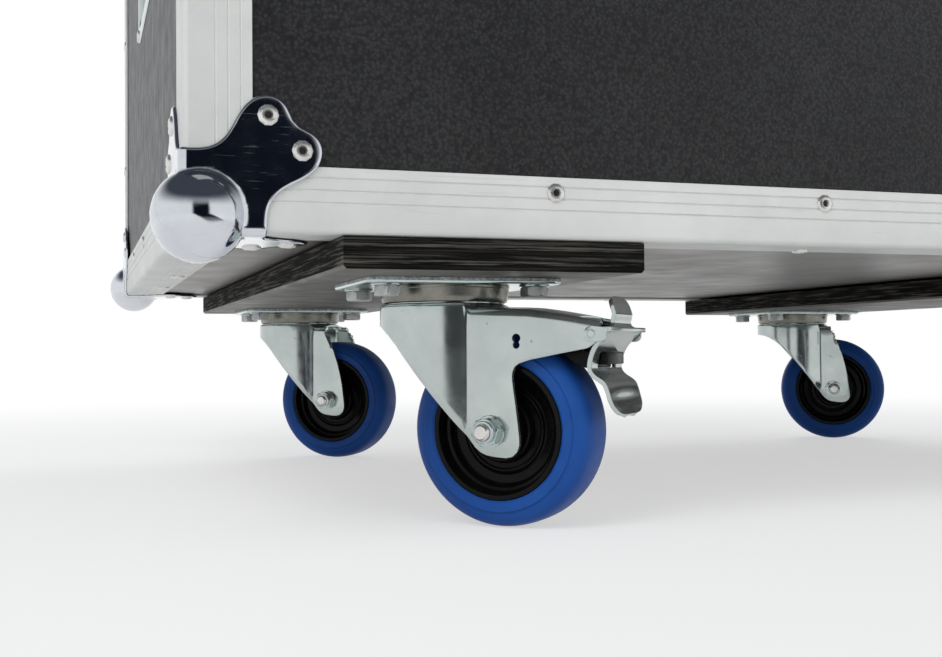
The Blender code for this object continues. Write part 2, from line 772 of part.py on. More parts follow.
def build_latch(name, x):
    """One recessed butterfly latch: rotor, folding wing and hook. It is stored unlatched."""
    rotor_z = SEAM - ROTOR_DROP
    face = -HALF_DEPTH + ROTOR_FACE
    floor = -HALF_DEPTH + LATCH_DEPTH - CLEARANCE
    wing_axis = -HALF_DEPTH + WING_AXIS_DEPTH
    turn = pivot(f"latch_turn_{name}", (x, face, rotor_z))
    disc = lie_along(rod(ROTOR_RADIUS, face, floor, 16), "Y", (x, 0, rotor_z))
    ears = []
    for s in (-1, 1):
        inner = WING_KNUCKLE_HALF + CLEARANCE
        ends = sorted((x + s * inner, x + s * (inner + WING_EAR_WALL)))
        ear = box((ends[0], wing_axis - WING_KNUCKLE, rotor_z - WING_KNUCKLE),
                  (ends[1], face + 0.001, rotor_z + WING_KNUCKLE))
        bore = lie_along(rod(WING_PIN + CLEARANCE, x - 0.02, x + 0.02, 8), "X", (0, wing_axis, rotor_z))
        ears.append(cut(ear, bore))
    add(f"latch_rotor_{name}", union(disc, *ears), "zinc", turn)

    flap = pivot(f"latch_wing_pivot_{name}", (0, wing_axis - face, 0), parent=turn)
    barrel = lie_along(rod(WING_KNUCKLE, -WING_KNUCKLE_HALF, WING_KNUCKLE_HALF, SMALL_SIDES), "X")
    top = -WING_KNUCKLE - WING_ROOT
    outline = rounded([
        (-WING_KNUCKLE_HALF, 0.0, 0), (WING_KNUCKLE_HALF, 0.0, 0), (WING_KNUCKLE_HALF, top, WING_EDGE),
        (WING_HALF_WIDTH, top - WING_EDGE, 0.004), (WING_HALF_WIDTH, -WING_LENGTH, 0.006),
        (0.0, -WING_LENGTH * 0.82, 0.012), (-WING_HALF_WIDTH, -WING_LENGTH, 0.006),
        (-WING_HALF_WIDTH, top - WING_EDGE, 0.004), (-WING_KNUCKLE_HALF, top, WING_EDGE),
    ], 3)
    half = WING_THICKNESS / 2
    stub = WING_KNUCKLE_HALF + CLEARANCE + WING_EAR_WALL
    wing = union(barrel, prism(outline, -half, half, "Y"), lie_along(rod(WING_PIN, -stub, stub, 8), "X"))
    add(f"latch_wing_{name}", wing, "zinc", flap, local=True)

    hinge = pivot(f"latch_hook_pivot_{name}", (x, -HALF_DEPTH + HOOK_PIVOT_DEPTH, SEAM - HOOK_PIVOT_DROP))
    add(f"latch_hook_{name}", hook(), "zinc", hinge, local=True)


def hook():
    """The hook about its own pin, tilted out of the case as it hangs unlatched."""
    keeper = KEEPER_TOP + HOOK_PIVOT_DROP + CLEARANCE + SEAM_GAP
    front = KEEPER_DEPTH - HOOK_PIVOT_DEPTH - CLEARANCE
    strap = [
        (-HOOK_WALL / 2, -HOOK_WALL / 2), (HOOK_WALL / 2, -HOOK_WALL / 2),
        (HOOK_WALL / 2, HOOK_WALL), (front, HOOK_SHOULDER), (front, keeper),
        (front + HOOK_LIP, keeper), (front + HOOK_LIP, keeper + HOOK_WALL),
        (front - HOOK_WALL, keeper + HOOK_WALL), (front - HOOK_WALL, HOOK_SHOULDER - HOOK_WALL / 2),
        (-HOOK_WALL / 2, HOOK_WALL),
    ]
    solid = prism(strap, -HOOK_HALF_WIDTH, HOOK_HALF_WIDTH, "X")
    reach = HOOK_HALF_WIDTH + HOOK_EAR_GAP + HOOK_EAR_WALL
    pin = lie_along(rod(HOOK_PIN, -reach, reach, 8), "X")
    solid = union(solid, pin)
    solid.transform(Matrix.Rotation(math.radians(HOOK_TILT), 4, "X"))
    return solid


def build_latches(lid):
    """Both latches across the seam at the front."""
    for name, x in zip(("left", "right"), latch_centres()):
        add(f"latch_dish_{name}", union(latch_half(x, False), *hook_bracket(x)), "zinc")
        add(f"latch_catch_{name}", union(latch_half(x, True), latch_keeper(x)), "zinc", lid)
        build_latch(name, x)


# Handles

def bail():
    """A steel loop with a round grip, hanging from an axis along Y at its own origin."""
    arms = []
    for s in (-1, 1):
        y = s * (BAIL_HALF_WIDTH - BAIL_ROD)
        arms.append(moved(rod(BAIL_ROD, -BAIL_LENGTH, BAIL_ROD, 8), (0, y, 0)))
    stub = BAIL_HALF_WIDTH + BAIL_LUG - CLEARANCE
    pin = lie_along(rod(BAIL_PIN, -stub, stub, 8), "Y")
    reach = BAIL_HALF_WIDTH - 0.5 * BAIL_ROD
    grip = lie_along(rod(GRIP_RADIUS, -reach, reach, 12), "Y", (0, 0, -BAIL_LENGTH))
    return union(grip, *arms, pin)


def bail_axis_height():
    """Height of a handle's pivot."""
    return SEAM - HANDLE_DROP + HANDLE_HEIGHT / 2 - BAIL_AXIS_DROP


def build_handles():
    """A recessed handle in each end of the case."""
    half = HANDLE_WIDTH / 2
    middle = SEAM - HANDLE_DROP
    axis_in = SKIN + GRIP_RADIUS + GRIP_ROOM
    for side, name in ((-1, "left"), (1, "right")):
        solid = dish(-half, half, middle - HANDLE_HEIGHT / 2, middle + HANDLE_HEIGHT / 2, HANDLE_DEPTH)
        face = HALF_WIDTH - SKIN
        turn = Matrix.Rotation(-math.pi / 2 if side < 0 else math.pi / 2, 4, "Z")
        solid.transform(Matrix.Translation((side * face, 0, 0)) @ turn)
        x = side * (HALF_WIDTH - axis_in)
        z = bail_axis_height()
        for s in (-1, 1):
            near = s * (BAIL_HALF_WIDTH + CLEARANCE)
            ends = sorted((near, s * (BAIL_HALF_WIDTH + BAIL_LUG)))
            back = side * (face - HANDLE_DEPTH - DISH_WALL / 2)
            spans = sorted((x + side * BAIL_LUG_FRONT, back))
            lug = box((spans[0], ends[0], z - BAIL_LUG_HALF), (spans[1], ends[1], z + BAIL_LUG_HALF))
            bore = lie_along(rod(BAIL_PIN + CLEARANCE, -HANDLE_WIDTH, HANDLE_WIDTH, 8), "Y", (x, 0, z))
            solid = union(solid, cut(lug, bore))
        add(f"handle_dish_{name}", solid, "zinc")
        hang = pivot(f"handle_pivot_{name}", (x, 0, z))
        add(f"handle_bail_{name}", bail(), "black_nylon", hang, local=True)


# Castors: each is built about its kingpin, with X trailing, Y along the axle and Z up from
# the underside of its board.

def castor_plate():
    """Mounting plate with its swivel race, kingpin and four bolts."""
    half_x, half_y = PLATE_LENGTH / 2, PLATE_WIDTH / 2
    outline = rectangle(-half_x, half_x, -half_y, half_y, PLATE_CORNER)
    plate = prism(outline, -PLATE_THICKNESS, -CLEARANCE, "Z")
    low = -PLATE_THICKNESS - HEAD_DEPTH
    grip = CROWN_TOP + FORK_WALL + CLEARANCE
    stem = turned([
        (KINGPIN_HEAD_RADIUS, -grip - KINGPIN_HEAD), (KINGPIN_HEAD_RADIUS, -grip),
        (KINGPIN_RADIUS, -grip), (KINGPIN_RADIUS, low), (HEAD_RADIUS - 0.001, low),
        (HEAD_RADIUS, low + 0.0015), (HEAD_RADIUS - 0.0015, -PLATE_THICKNESS + 0.001),
    ], RACE_SIDES)
    plate = union(plate, stem)
    washer = -PLATE_THICKNESS - WASHER_THICKNESS
    for sx in (-1, 1):
        for sy in (-1, 1):
            head = rod(across_flats(BOLT_HEAD_ACROSS), washer - BOLT_HEAD_HEIGHT, washer + 0.0005, 6)
            bolt = union(head, rod(WASHER_RADIUS, washer, -PLATE_THICKNESS + 0.0005, 8))
            place = (sx * BOLT_SPACING_LONG / 2, sy * BOLT_SPACING_SHORT / 2, 0)
            plate = union(plate, moved(bolt, place))
    return plate


def fork_side_outline(braked):
    """Side view of a fork from its crown, down the raked front to the leg, and out to the arm."""
    top = -CROWN_TOP
    nose = (-CROWN_RADIUS - NOSE_ROOM, top - NOSE_DEPTH)
    foot_z = -AXLE_DROP - LEG_BOTTOM_DROP
    foot = (AXLE_OFFSET - LEG_FRONT, foot_z + FOOT_RISE)
    heel = AXLE_OFFSET + LEG_BACK
    outline = [(nose[0], top), nose]
    outline += bend(nose, (RAKE_CONTROL, top - RAKE_DROP), foot, 6)
    sole = [(AXLE_OFFSET - FOOT_RISE, foot_z, 0.010), (heel, foot_z, 0.006)]
    if braked:
        end = [
            (PEDAL_PIVOT_OUT + ARM_END_RADIUS * math.cos(math.radians(angle)),
             -PEDAL_PIVOT_DOWN + ARM_END_RADIUS * math.sin(math.radians(angle)), 0)
            for angle in range(-44, 89, 33)
        ]
        tip = (ARM_TIP[0], -ARM_TIP[1], 0.0015)
        tail = [(heel - 0.003, top - ARM_DROP, 0.0070), tip, *end, (ARM_START, top - ARM_FALL, 0),
                (CROWN_RADIUS - FORK_FLAT, top, 0)]
    else:
        tail = [(CROWN_RADIUS + 0.005, top - 0.020, 0.012), (CROWN_RADIUS - FORK_FLAT, top, 0.0)]
    return outline + rounded([(*foot, 0), *sole, *tail, (nose[0], top, 0)], 3)[:-1]


def fork_plan(reach, radius, half):
    """Plan view of a fork: a round crown that narrows to two straight cheeks."""
    start = math.pi - math.asin(half / radius)
    steps = CROWN_SIDES
    swing = math.pi - start
    points = [(reach, -half)]
    for i in range(steps + 1):
        angle = -swing - (2 * math.pi - 2 * swing) * i / steps
        points.append((radius * math.cos(angle), radius * math.sin(angle)))
    points.append((reach, half))
    return points


def fork(braked):
    """A pressed-steel fork: crown, two cheeks and, with a brake, a roofed pair of arms."""
    side = fork_side_outline(braked)
    reach = max(x for x, _ in side) + 0.01
    deep = -CASTOR_HEIGHT
    body = prism(fork_plan(reach, CROWN_RADIUS, FORK_HALF_WIDTH), deep, 0.0, "Z")
    body = combine(body, prism(side, -0.05, 0.05, "Y"), "INTERSECT")
    inner_half = FORK_HALF_WIDTH - FORK_WALL
    inner = prism(fork_plan(reach, CROWN_RADIUS - FORK_WALL, inner_half), deep, 0.0, "Z")
    under = -CROWN_TOP - FORK_WALL
    roof = [(-0.06, deep), (reach, deep)]
    if braked:
        roof += [(reach, 0.0), (ARM_OPEN, 0.0), (ARM_OPEN, arm_roof(ARM_OPEN) - FORK_WALL),
                 (ARM_START, under - ARM_FALL)]
    else:
        roof += [(reach, under)]
    roof += [(CROWN_RADIUS - FORK_FLAT, under), (-0.06, under)]
    inner = combine(inner, prism(roof, -0.05, 0.05, "Y"), "INTERSECT")
    body = cut(body, inner)
    holes = [rod(KINGPIN_RADIUS + CLEARANCE, -0.03, 0.0, 16)]
    axle = rod(AXLE_RADIUS + CLEARANCE, -0.05, 0.05, 12)
    holes.append(lie_along(axle, "Y", (AXLE_OFFSET, 0, -AXLE_DROP)))
    body = cut(body, *holes)
    if braked:
        half = FORK_HALF_WIDTH + CLEARANCE + PEDAL_WALL + PIN_END
        pin = lie_along(rod(PEDAL_PIN_RADIUS, -half, half, 8), "Y")
        body = union(body, moved(pin, (PEDAL_PIVOT_OUT, 0, -PEDAL_PIVOT_DOWN)))
    return body


def arm_roof(x):
    """Height of the arms' roof this far from the kingpin."""
    x0, z0 = ARM_START, -CROWN_TOP - ARM_FALL
    x1, z1 = PEDAL_PIVOT_OUT, -PEDAL_PIVOT_DOWN + ARM_END_RADIUS
    return z0 + (z1 - z0) * (x - x0) / (x1 - x0)


def axle():
    """The wheel's bolt with its nut."""
    out = FORK_HALF_WIDTH + CLEARANCE
    corner = across_flats(NUT_ACROSS)
    bolt = rod(AXLE_RADIUS, -out - NUT_HEIGHT - AXLE_END, out + 0.002, 12)
    nut = rod(corner, -out - NUT_HEIGHT, -out, 6)
    head = rod(corner, out, out + NUT_HEIGHT * 0.8, 6)
    return lie_along(union(bolt, nut, head), "Y", (AXLE_OFFSET, 0, -AXLE_DROP))


def facet_radius(radius, sides):
    """Corner radius of a many-sided ring whose flats lie at this radius."""
    return radius / math.cos(math.pi / sides)


def tyre():
    """The elastic tyre about its own axle, flat facet down."""
    outer = facet_radius(WHEEL_RADIUS, TYRE_SIDES)
    half = WHEEL_WIDTH / 2
    drop = outer - 0.004
    profile = [(TYRE_BORE, -HUB_RIM_HALF), (TYRE_BORE + 0.002, -half), (drop, -half),
               (outer, -half * 0.5), (outer, half * 0.5), (drop, half),
               (TYRE_BORE + 0.002, half), (TYRE_BORE, HUB_RIM_HALF)]
    turn = 0.5 if TYRE_SIDES % 4 == 0 else 0.0
    return lie_along(turned(profile, TYRE_SIDES, True, turn), "Y")


def hub():
    """The dished hub: boss, web and rim, bored for the axle."""
    boss = FORK_HALF_WIDTH - FORK_WALL - CLEARANCE
    rim_outer = TYRE_BORE - 2 * CLEARANCE
    profile = [(HUB_BORE, -boss), (HUB_BOSS_RADIUS - 0.004, -boss), (HUB_BOSS_RADIUS, -HUB_WEB_HALF),
               (HUB_RIM_INNER - 0.004, -HUB_WEB_HALF), (HUB_RIM_INNER, -HUB_RIM_HALF),
               (rim_outer, -HUB_RIM_HALF), (rim_outer, HUB_RIM_HALF), (HUB_RIM_INNER, HUB_RIM_HALF),
               (HUB_RIM_INNER - 0.004, HUB_WEB_HALF), (HUB_BOSS_RADIUS, HUB_WEB_HALF),
               (HUB_BOSS_RADIUS - 0.004, boss), (HUB_BORE, boss)]
    return lie_along(turned(profile, HUB_SIDES, True, 0.5), "Y")


def strip(line, wall):
    """Outline of a bent sheet of this thickness, from the line through its middle."""
    points = [Vector(point) for point in line]
    sides = []
    for i, here in enumerate(points):
        run = points[min(i + 1, len(points) - 1)] - points[max(i - 1, 0)]
        sides.append(Vector((-run.y, run.x)).normalized() * (wall / 2))
    left = [tuple(here + side) for here, side in zip(points, sides)]
    right = [tuple(here - side) for here, side in zip(points, sides)]
    return left + right[::-1]


def brake_pedal():
    """The double-ended pedal about its pin: a kick-off tab, a cross bar with two ears outside the
    arms, a windowed web, a paddle, and the shoe that comes through the window."""
    ear_in = FORK_HALF_WIDTH + CLEARANCE
    ear_out = ear_in + PEDAL_WALL
    bar = box((0.0064, -ear_out, 0.0010), (0.0102, ear_out, 0.0034))
    web = prism(strip(PEDAL_WEB_LINE, PEDAL_WALL), -PEDAL_BODY_HALF, PEDAL_BODY_HALF, "Y")
    front = rounded([
        (-PEDAL_BODY_HALF, 0.010, 0), (-PEDAL_BODY_HALF, PADDLE_END, 0.010),
        (PEDAL_BODY_HALF, PADDLE_END, 0.010), (PEDAL_BODY_HALF, 0.010, 0)], 3)
    web = combine(web, prism(front, -0.03, 0.03, "X"), "INTERSECT")
    tab = prism(strip(PEDAL_TAB_LINE, PEDAL_WALL), -PEDAL_TAB_HALF, PEDAL_TAB_HALF, "Y")
    front = rounded([
        (-PEDAL_TAB_HALF, 0.0, 0), (PEDAL_TAB_HALF, 0.0, 0), (PEDAL_TAB_HALF, TAB_END, 0.007),
        (-PEDAL_TAB_HALF, TAB_END, 0.007)], 3)
    tab = combine(tab, prism(front, -0.03, 0.03, "X"), "INTERSECT")
    ears = [prism(rounded(PEDAL_EAR, 2), *sorted((s * ear_in, s * ear_out)), "Y") for s in (-1, 1)]
    window = box((-0.01, -PEDAL_WINDOW_HALF, -0.0174), (0.05, PEDAL_WINDOW_HALF, -0.0086))
    shoe = prism(SHOE_SIDE, -SHOE_HALF, SHOE_HALF, "Y")
    solid = union(cut(union(bar, web, tab, *ears), window), shoe)
    bore = lie_along(rod(PEDAL_PIN_RADIUS + CLEARANCE, -0.05, 0.05, 8), "Y")
    return cut(solid, bore)


def build_castors():
    """Two braked castors at the front and two plain ones at the back, all under the boards."""
    places = (
        ("front_left", -1, -1, SWIVEL_FRONT_LEFT, True),
        ("front_right", 1, -1, SWIVEL_FRONT_RIGHT, True),
        ("rear_left", -1, 1, SWIVEL_REAR_LEFT, False),
        ("rear_right", 1, 1, SWIVEL_REAR_RIGHT, False),
    )
    for name, sx, sy, swivel, braked in places:
        top = Vector((sx * KINGPIN_X, sy * KINGPIN_Y, BOARD_UNDERSIDE))
        add(f"castor_plate_{name}", moved(castor_plate(), top), "zinc")
        kingpin = pivot(f"kingpin_{name}", top, -math.radians(swivel))
        add(f"fork_{name}", fork(braked), "zinc", kingpin, local=True)
        add(f"axle_{name}", axle(), "zinc", kingpin, local=True)
        spindle = pivot(f"spindle_{name}", (AXLE_OFFSET, 0, -AXLE_DROP), parent=kingpin)
        add(f"tyre_{name}", tyre(), "blue_rubber", spindle, local=True)
        add(f"hub_{name}", hub(), "black_nylon", spindle, local=True)
        if braked:
            place = (PEDAL_PIVOT_OUT, 0, -PEDAL_PIVOT_DOWN)
            pedal = pivot(f"pedal_pivot_{name}", place, parent=kingpin)
            add(f"brake_pedal_{name}", brake_pedal(), "zinc", pedal, local=True)


def build_boards():
    """Two plywood boards that carry the castors and run the full depth of the case."""
    half = HALF_DEPTH - BOARD_END_GAP
    for side, name in ((-1, "left"), (1, "right")):
        ends = sorted((side * (HALF_WIDTH - BOARD_INSET), side * (HALF_WIDTH - BOARD_INSET - BOARD_WIDTH)))
        low, high = BOARD_UNDERSIDE, CASE_BOTTOM - CLEARANCE
        chamfer = BOARD_CHAMFER
        outline = [(ends[0], high), (ends[0], low + chamfer), (ends[0] + chamfer, low),
                   (ends[1] - chamfer, low), (ends[1], low + chamfer), (ends[1], high)]
        add(f"castor_board_{name}", prism(outline, -half, half, "Y"), "stained_ply")


def build():
    """The whole case."""
    lid = pivot("lid_hinge", (0, HINGE_AXIS_Y, HINGE_AXIS_Z))
    build_panels(lid)
    build_frames(lid)
    build_corners(lid)
    build_hinge(lid)
    build_latches(lid)
    build_handles()
    build_boards()
    build_castors()


clear_scene()
MATERIALS = make_materials()
build()
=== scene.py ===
# %% [markdown]
# # A flight case on castors
# This lesson dresses the plain solids of a touring trunk: laminated panels in aluminium edging, steel
# ball corners, two boards underneath, and four castors with blue tyres. Each visible piece is either
# a surface worked out with numpy that takes a solid's place, or the solid with a better finish.

# %% Load the frame
import json
import math

import bmesh
import bpy
import numpy as np
from mathutils import Matrix, Vector


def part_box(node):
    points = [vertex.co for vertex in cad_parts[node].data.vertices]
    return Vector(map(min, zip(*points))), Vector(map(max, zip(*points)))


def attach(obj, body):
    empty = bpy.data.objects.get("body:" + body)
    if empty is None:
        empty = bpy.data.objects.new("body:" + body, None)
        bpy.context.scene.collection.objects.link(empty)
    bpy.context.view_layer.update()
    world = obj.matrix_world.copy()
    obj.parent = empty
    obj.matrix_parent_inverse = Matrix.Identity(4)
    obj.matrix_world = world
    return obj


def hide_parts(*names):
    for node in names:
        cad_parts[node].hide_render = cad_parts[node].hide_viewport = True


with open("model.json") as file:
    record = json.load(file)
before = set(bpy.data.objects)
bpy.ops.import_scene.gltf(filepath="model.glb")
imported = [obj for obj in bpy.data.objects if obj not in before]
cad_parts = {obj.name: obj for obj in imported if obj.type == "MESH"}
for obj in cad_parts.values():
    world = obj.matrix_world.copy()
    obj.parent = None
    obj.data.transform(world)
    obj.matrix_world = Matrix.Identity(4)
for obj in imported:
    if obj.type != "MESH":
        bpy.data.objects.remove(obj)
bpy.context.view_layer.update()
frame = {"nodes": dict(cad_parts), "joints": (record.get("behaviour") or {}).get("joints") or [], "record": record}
MM = 0.001


def show(name, data):
    """A new object in the scene."""
    made = bpy.data.objects.new(name, data)
    bpy.context.scene.collection.objects.link(made)
    return made


# %% [markdown]
# ## The camera
# The photograph was taken low and close, under the case's front corner. The camera's place, turn and
# lens were solved from the straight edges in it: yaw turns it right, pitch tips it up, roll leans it.

# %% Camera
CAMERA_PLACE = (-0.44335, -0.80487, 0.09036)
YAW, PITCH, ROLL = np.radians([18.92, 1.15, -0.49])
forward = np.array([math.sin(YAW) * math.cos(PITCH), math.cos(YAW) * math.cos(PITCH), math.sin(PITCH)])
level = np.array([math.cos(YAW), -math.sin(YAW), 0.0])
upright = np.cross(level, forward)
aside = level * math.cos(ROLL) + upright * math.sin(ROLL)
above = upright * math.cos(ROLL) - level * math.sin(ROLL)
lens = bpy.data.cameras.new("close_camera")
lens.lens, lens.sensor_width, lens.clip_start = 44.12, 36.0, 0.01
camera = show("close_camera", lens)
camera.matrix_world = Matrix.Translation(CAMERA_PLACE) @ Matrix((aside, above, -forward)).transposed().to_4x4()
bpy.context.scene.camera = camera
print("camera at", CAMERA_PLACE, "looks along", np.round(forward, 3))

# %% [markdown]
# ## Helpers for materials
# A material is a tree of nodes. These helpers add a node, set its menus and fill its sockets by name,
# so that each finish below reads as a short list.

# %% Node helpers
def fill(tree, made, **sockets):
    """Fill a node's sockets, named with _ for a space or by number as in0, with values or links."""
    for key, value in sockets.items():
        numbered = key.startswith("in") and key[2:].isdigit()
        socket = made.inputs[int(key[2:]) if numbered else key.replace("_", " ")]
        if isinstance(value, bpy.types.NodeSocket):
            tree.links.new(value, socket)
        else:
            socket.default_value = (*value, 1)[:4] if socket.type == "RGBA" else value
    return made


def node(tree, kind, settings=None, **sockets):
    """Add a node of a kind, with its menus set and its sockets filled."""
    made = tree.nodes.new("ShaderNode" + kind)
    for key, value in (settings or {}).items():
        setattr(made, key, value)
    return fill(tree, made, **sockets)


def maths(tree, how, a, b=0.0, c=0.0):
    """One sum on numbers or sockets, such as MAXIMUM."""
    return node(tree, "Math", {"operation": how}, in0=a, in1=b, in2=c).outputs[0]


def times(tree, a, b):
    """a times b."""
    return maths(tree, "MULTIPLY", a, b)


def mix(tree, share, a, b):
    """A colour between a and b."""
    return node(tree, "Mix", {"data_type": "RGBA"}, Factor=share, in6=a, in7=b).outputs[2]


def ramp(tree, value, *stops, sharp=False):
    """A colour or grey that follows value through stops of (place, grey or colour)."""
    made = node(tree, "ValToRGB", Fac=value)
    made.color_ramp.interpolation = "CONSTANT" if sharp else "LINEAR"
    while len(made.color_ramp.elements) < len(stops):
        made.color_ramp.elements.new(1.0)
    for element, (place, tone) in zip(made.color_ramp.elements, stops):
        element.position = place
        element.color = (*tone, 1) if isinstance(tone, tuple) else (tone, tone, tone, 1)
    return made.outputs[0]


def eased(tree, value, start, end):
    """0 at start and 1 at end, with a soft turn at both."""
    return node(tree, "MapRange", {"interpolation_type": "SMOOTHSTEP"}, Value=value, From_Min=start,
                From_Max=end).outputs[0]


def coordinate(tree, vector, axis):
    """One coordinate of a vector."""
    return node(tree, "SeparateXYZ", Vector=vector).outputs[axis]


def noise(tree, where, scale, detail=2.0, roughness=0.5):
    """Cloudy grey, at a scale per metre."""
    return node(tree, "TexNoise", Vector=where, Scale=scale, Detail=detail, Roughness=roughness).outputs["Fac"]


def cells(tree, where, scale, feature="F1"):
    """Distance to the nearest of many scattered spots."""
    return node(tree, "TexVoronoi", {"feature": feature}, Vector=where, Scale=scale).outputs["Distance"]


# %% [markdown]
# ## Studio
# The case stands in an empty white studio. To the camera, and in mirrors, the world is white, but it
# lights the case at a plain level, so colours stay as they are written. Chrome shows its form only
# when something dark stands in it too, so what mirrors see straight in front of the case is a narrow
# dark room, and overhead a grey ceiling. Three big soft lamps give the shading.

# %% Studio light
ROOM_TONE, CEILING_TONE = (0.005, 0.007, 0.013), (0.060, 0.066, 0.085)
MIRROR_WHITE, LIGHT_TONE, WHITE = (0.94, 0.955, 0.97), (0.52, 0.535, 0.55), (1, 1, 1)


def room_ahead(tree, position):
    """1 where a direction or a place lies within about 20 degrees of straight ahead of the case, else 0."""
    flat = node(tree, "VectorMath", {"operation": "MULTIPLY"}, in0=position, in1=(1, 1, 0)).outputs[0]
    flat = node(tree, "VectorMath", {"operation": "NORMALIZE"}, in0=flat).outputs[0]
    return eased(tree, times(tree, coordinate(tree, flat, "Y"), -1.0), 0.915, 0.968)


world = bpy.data.worlds.new("studio")
bpy.context.scene.world = world
world.use_nodes = True
tree = world.node_tree
sight = node(tree, "TexCoord").outputs["Generated"]
rise = coordinate(tree, sight, "Z")
path = node(tree, "LightPath").outputs
mirror_sees = mix(tree, eased(tree, rise, 0.30, 0.70), MIRROR_WHITE, CEILING_TONE)
room = times(tree, room_ahead(tree, sight), eased(tree, rise, 0.62, 0.30))
mirror_sees = mix(tree, room, mirror_sees, ROOM_TONE)
lit = mix(tree, path["Is Glossy Ray"], LIGHT_TONE, mirror_sees)
clear = maths(tree, "MAXIMUM", path["Is Camera Ray"], path["Is Transmission Ray"])
fill(tree, tree.nodes["Background"], Color=mix(tree, clear, lit, WHITE), Strength=1.0)
bpy.context.scene.view_settings.view_transform = "Standard"


def lamp(name, place, target, size, watts):
    """A square soft lamp at place that faces target. Mirrors don't show it."""
    light = bpy.data.lights.new(name, "AREA")
    light.size, light.energy = size, watts
    made = show(name, light)
    made.visible_glossy = False
    facing = (Vector(place) - Vector(target)).to_track_quat("Z", "Y").to_matrix().to_4x4()
    made.matrix_world = Matrix.Translation(place) @ facing


lamp("key_left", (-1.9, -1.7, 2.2), (0, 0, 0.35), 1.6, 48)
lamp("fill_low", (0.5, -2.5, 0.7), (0, 0, 0.15), 1.3, 14)
lamp("rim_back", (1.5, 2.2, 1.9), (0, 0, 0.4), 1.4, 34)

# %% [markdown]
# ## Floor
# The floor is pale and matt. To the camera and to mirrors it fades to pure white away from the case,
# as a white sweep does, and close to the case it keeps the soft shadow.

# %% Floor
FLOOR_HALF = 9.0
corners = [(x * FLOOR_HALF, y * FLOOR_HALF, 0) for x, y in ((-1, -1), (1, -1), (1, 1), (-1, 1))]
floor_mesh = bpy.data.meshes.new("floor")
floor_mesh.from_pydata(corners, [], [(0, 1, 2, 3)])
floor = show("floor", floor_mesh)
pale = bpy.data.materials.new("pale_floor")
pale.use_nodes = True
tree = pale.node_tree
shader = fill(tree, tree.nodes["Principled BSDF"], Base_Color=(0.80, 0.80, 0.80), Roughness=0.95,
              Specular_IOR_Level=0.05)
path = node(tree, "LightPath").outputs
seen = maths(tree, "MAXIMUM", path["Is Camera Ray"], path["Is Glossy Ray"])
seen = maths(tree, "MAXIMUM", seen, path["Is Transmission Ray"])
spot = node(tree, "TexCoord").outputs["Object"]
reach = node(tree, "VectorMath", {"operation": "LENGTH"}, in0=spot).outputs["Value"]
share = times(tree, maths(tree, "ADD", times(tree, eased(tree, reach, 0.45, 1.6), 0.45), 0.55), seen)
far = eased(tree, coordinate(tree, spot, "Y"), -0.60, -0.85)
dim = times(tree, times(tree, room_ahead(tree, spot), far), path["Is Glossy Ray"])
glow = node(tree, "Emission", Color=mix(tree, dim, WHITE, ROOM_TONE), Strength=1.0)
blend = node(tree, "MixShader", Fac=share, in1=shader.outputs[0], in2=glow.outputs[0])
fill(tree, tree.nodes["Material Output"], Surface=blend.outputs[0])
floor_mesh.materials.append(pale)

# %% [markdown]
# ## Finishes
# Real surfaces are never one flat colour. Each finish here runs its colour between two tones with a
# cloudy noise, varies its gloss with a finer one, and adds bumps of a stated height in millimetres.
# Noise reads the object's own metres, so a grain has its real size on every piece.

# %% Finish helpers
def below(shader, name):
    """What feeds a socket of the shader now."""
    return shader.inputs[name].links[0].from_socket


def add_bump(tree, shader, relief, strength, height):
    """Bump a surface by height in mm, on top of the bumps that it has."""
    bump = node(tree, "Bump", Height=relief, Strength=strength, Distance=height * MM)
    if shader.inputs["Normal"].links:
        fill(tree, bump, Normal=below(shader, "Normal"))
    fill(tree, shader, Normal=bump.outputs[0])


def parts_of(material):
    """The tree, the shader and the Object coordinates of a finish, to add to it."""
    tree = material.node_tree
    where = next(n for n in tree.nodes if n.type == "TEX_COORD").outputs["Object"]
    return tree, tree.nodes["Principled BSDF"], where


def finish(name, dark, light, metal=0.0, gloss=(0.4, 0.6), patch=30.0, bumps=(), shine=0.5):
    """Colour from dark to light over patches (per metre), roughness between the two gloss values, and
    bumps of (texture, scale per metre, height in mm)."""
    material = bpy.data.materials.new(name)
    material.use_nodes = True
    node(material.node_tree, "TexCoord")
    tree, shader, where = parts_of(material)
    tone = ramp(tree, noise(tree, where, patch, 6.0, 0.62), (0.32, dark), (0.68, light))
    rough = node(tree, "MapRange", Value=noise(tree, where, patch * 4.3, 4.0), From_Min=0.3, From_Max=0.7,
                 To_Min=gloss[0], To_Max=gloss[1]).outputs[0]
    fill(tree, shader, Base_Color=tone, Roughness=rough, Metallic=metal, Specular_IOR_Level=shine)
    for kind, scale, height in bumps:
        relief = noise(tree, where, scale, 3.0) if kind == "noise" else cells(tree, where, scale, "SMOOTH_F1")
        add_bump(tree, shader, relief, 1.0, height)
    return material


def overlay(material, mask, tone, rough=None):
    """Lay another tone, and another roughness, over a finish where mask is 1."""
    tree, shader, _ = parts_of(material)
    fill(tree, shader, Base_Color=mix(tree, mask, below(shader, "Base Color"), tone))
    if rough is not None:
        dull = node(tree, "Mix", Factor=mask, in2=below(shader, "Roughness"), in3=rough)
        fill(tree, shader, Roughness=dull.outputs[0])


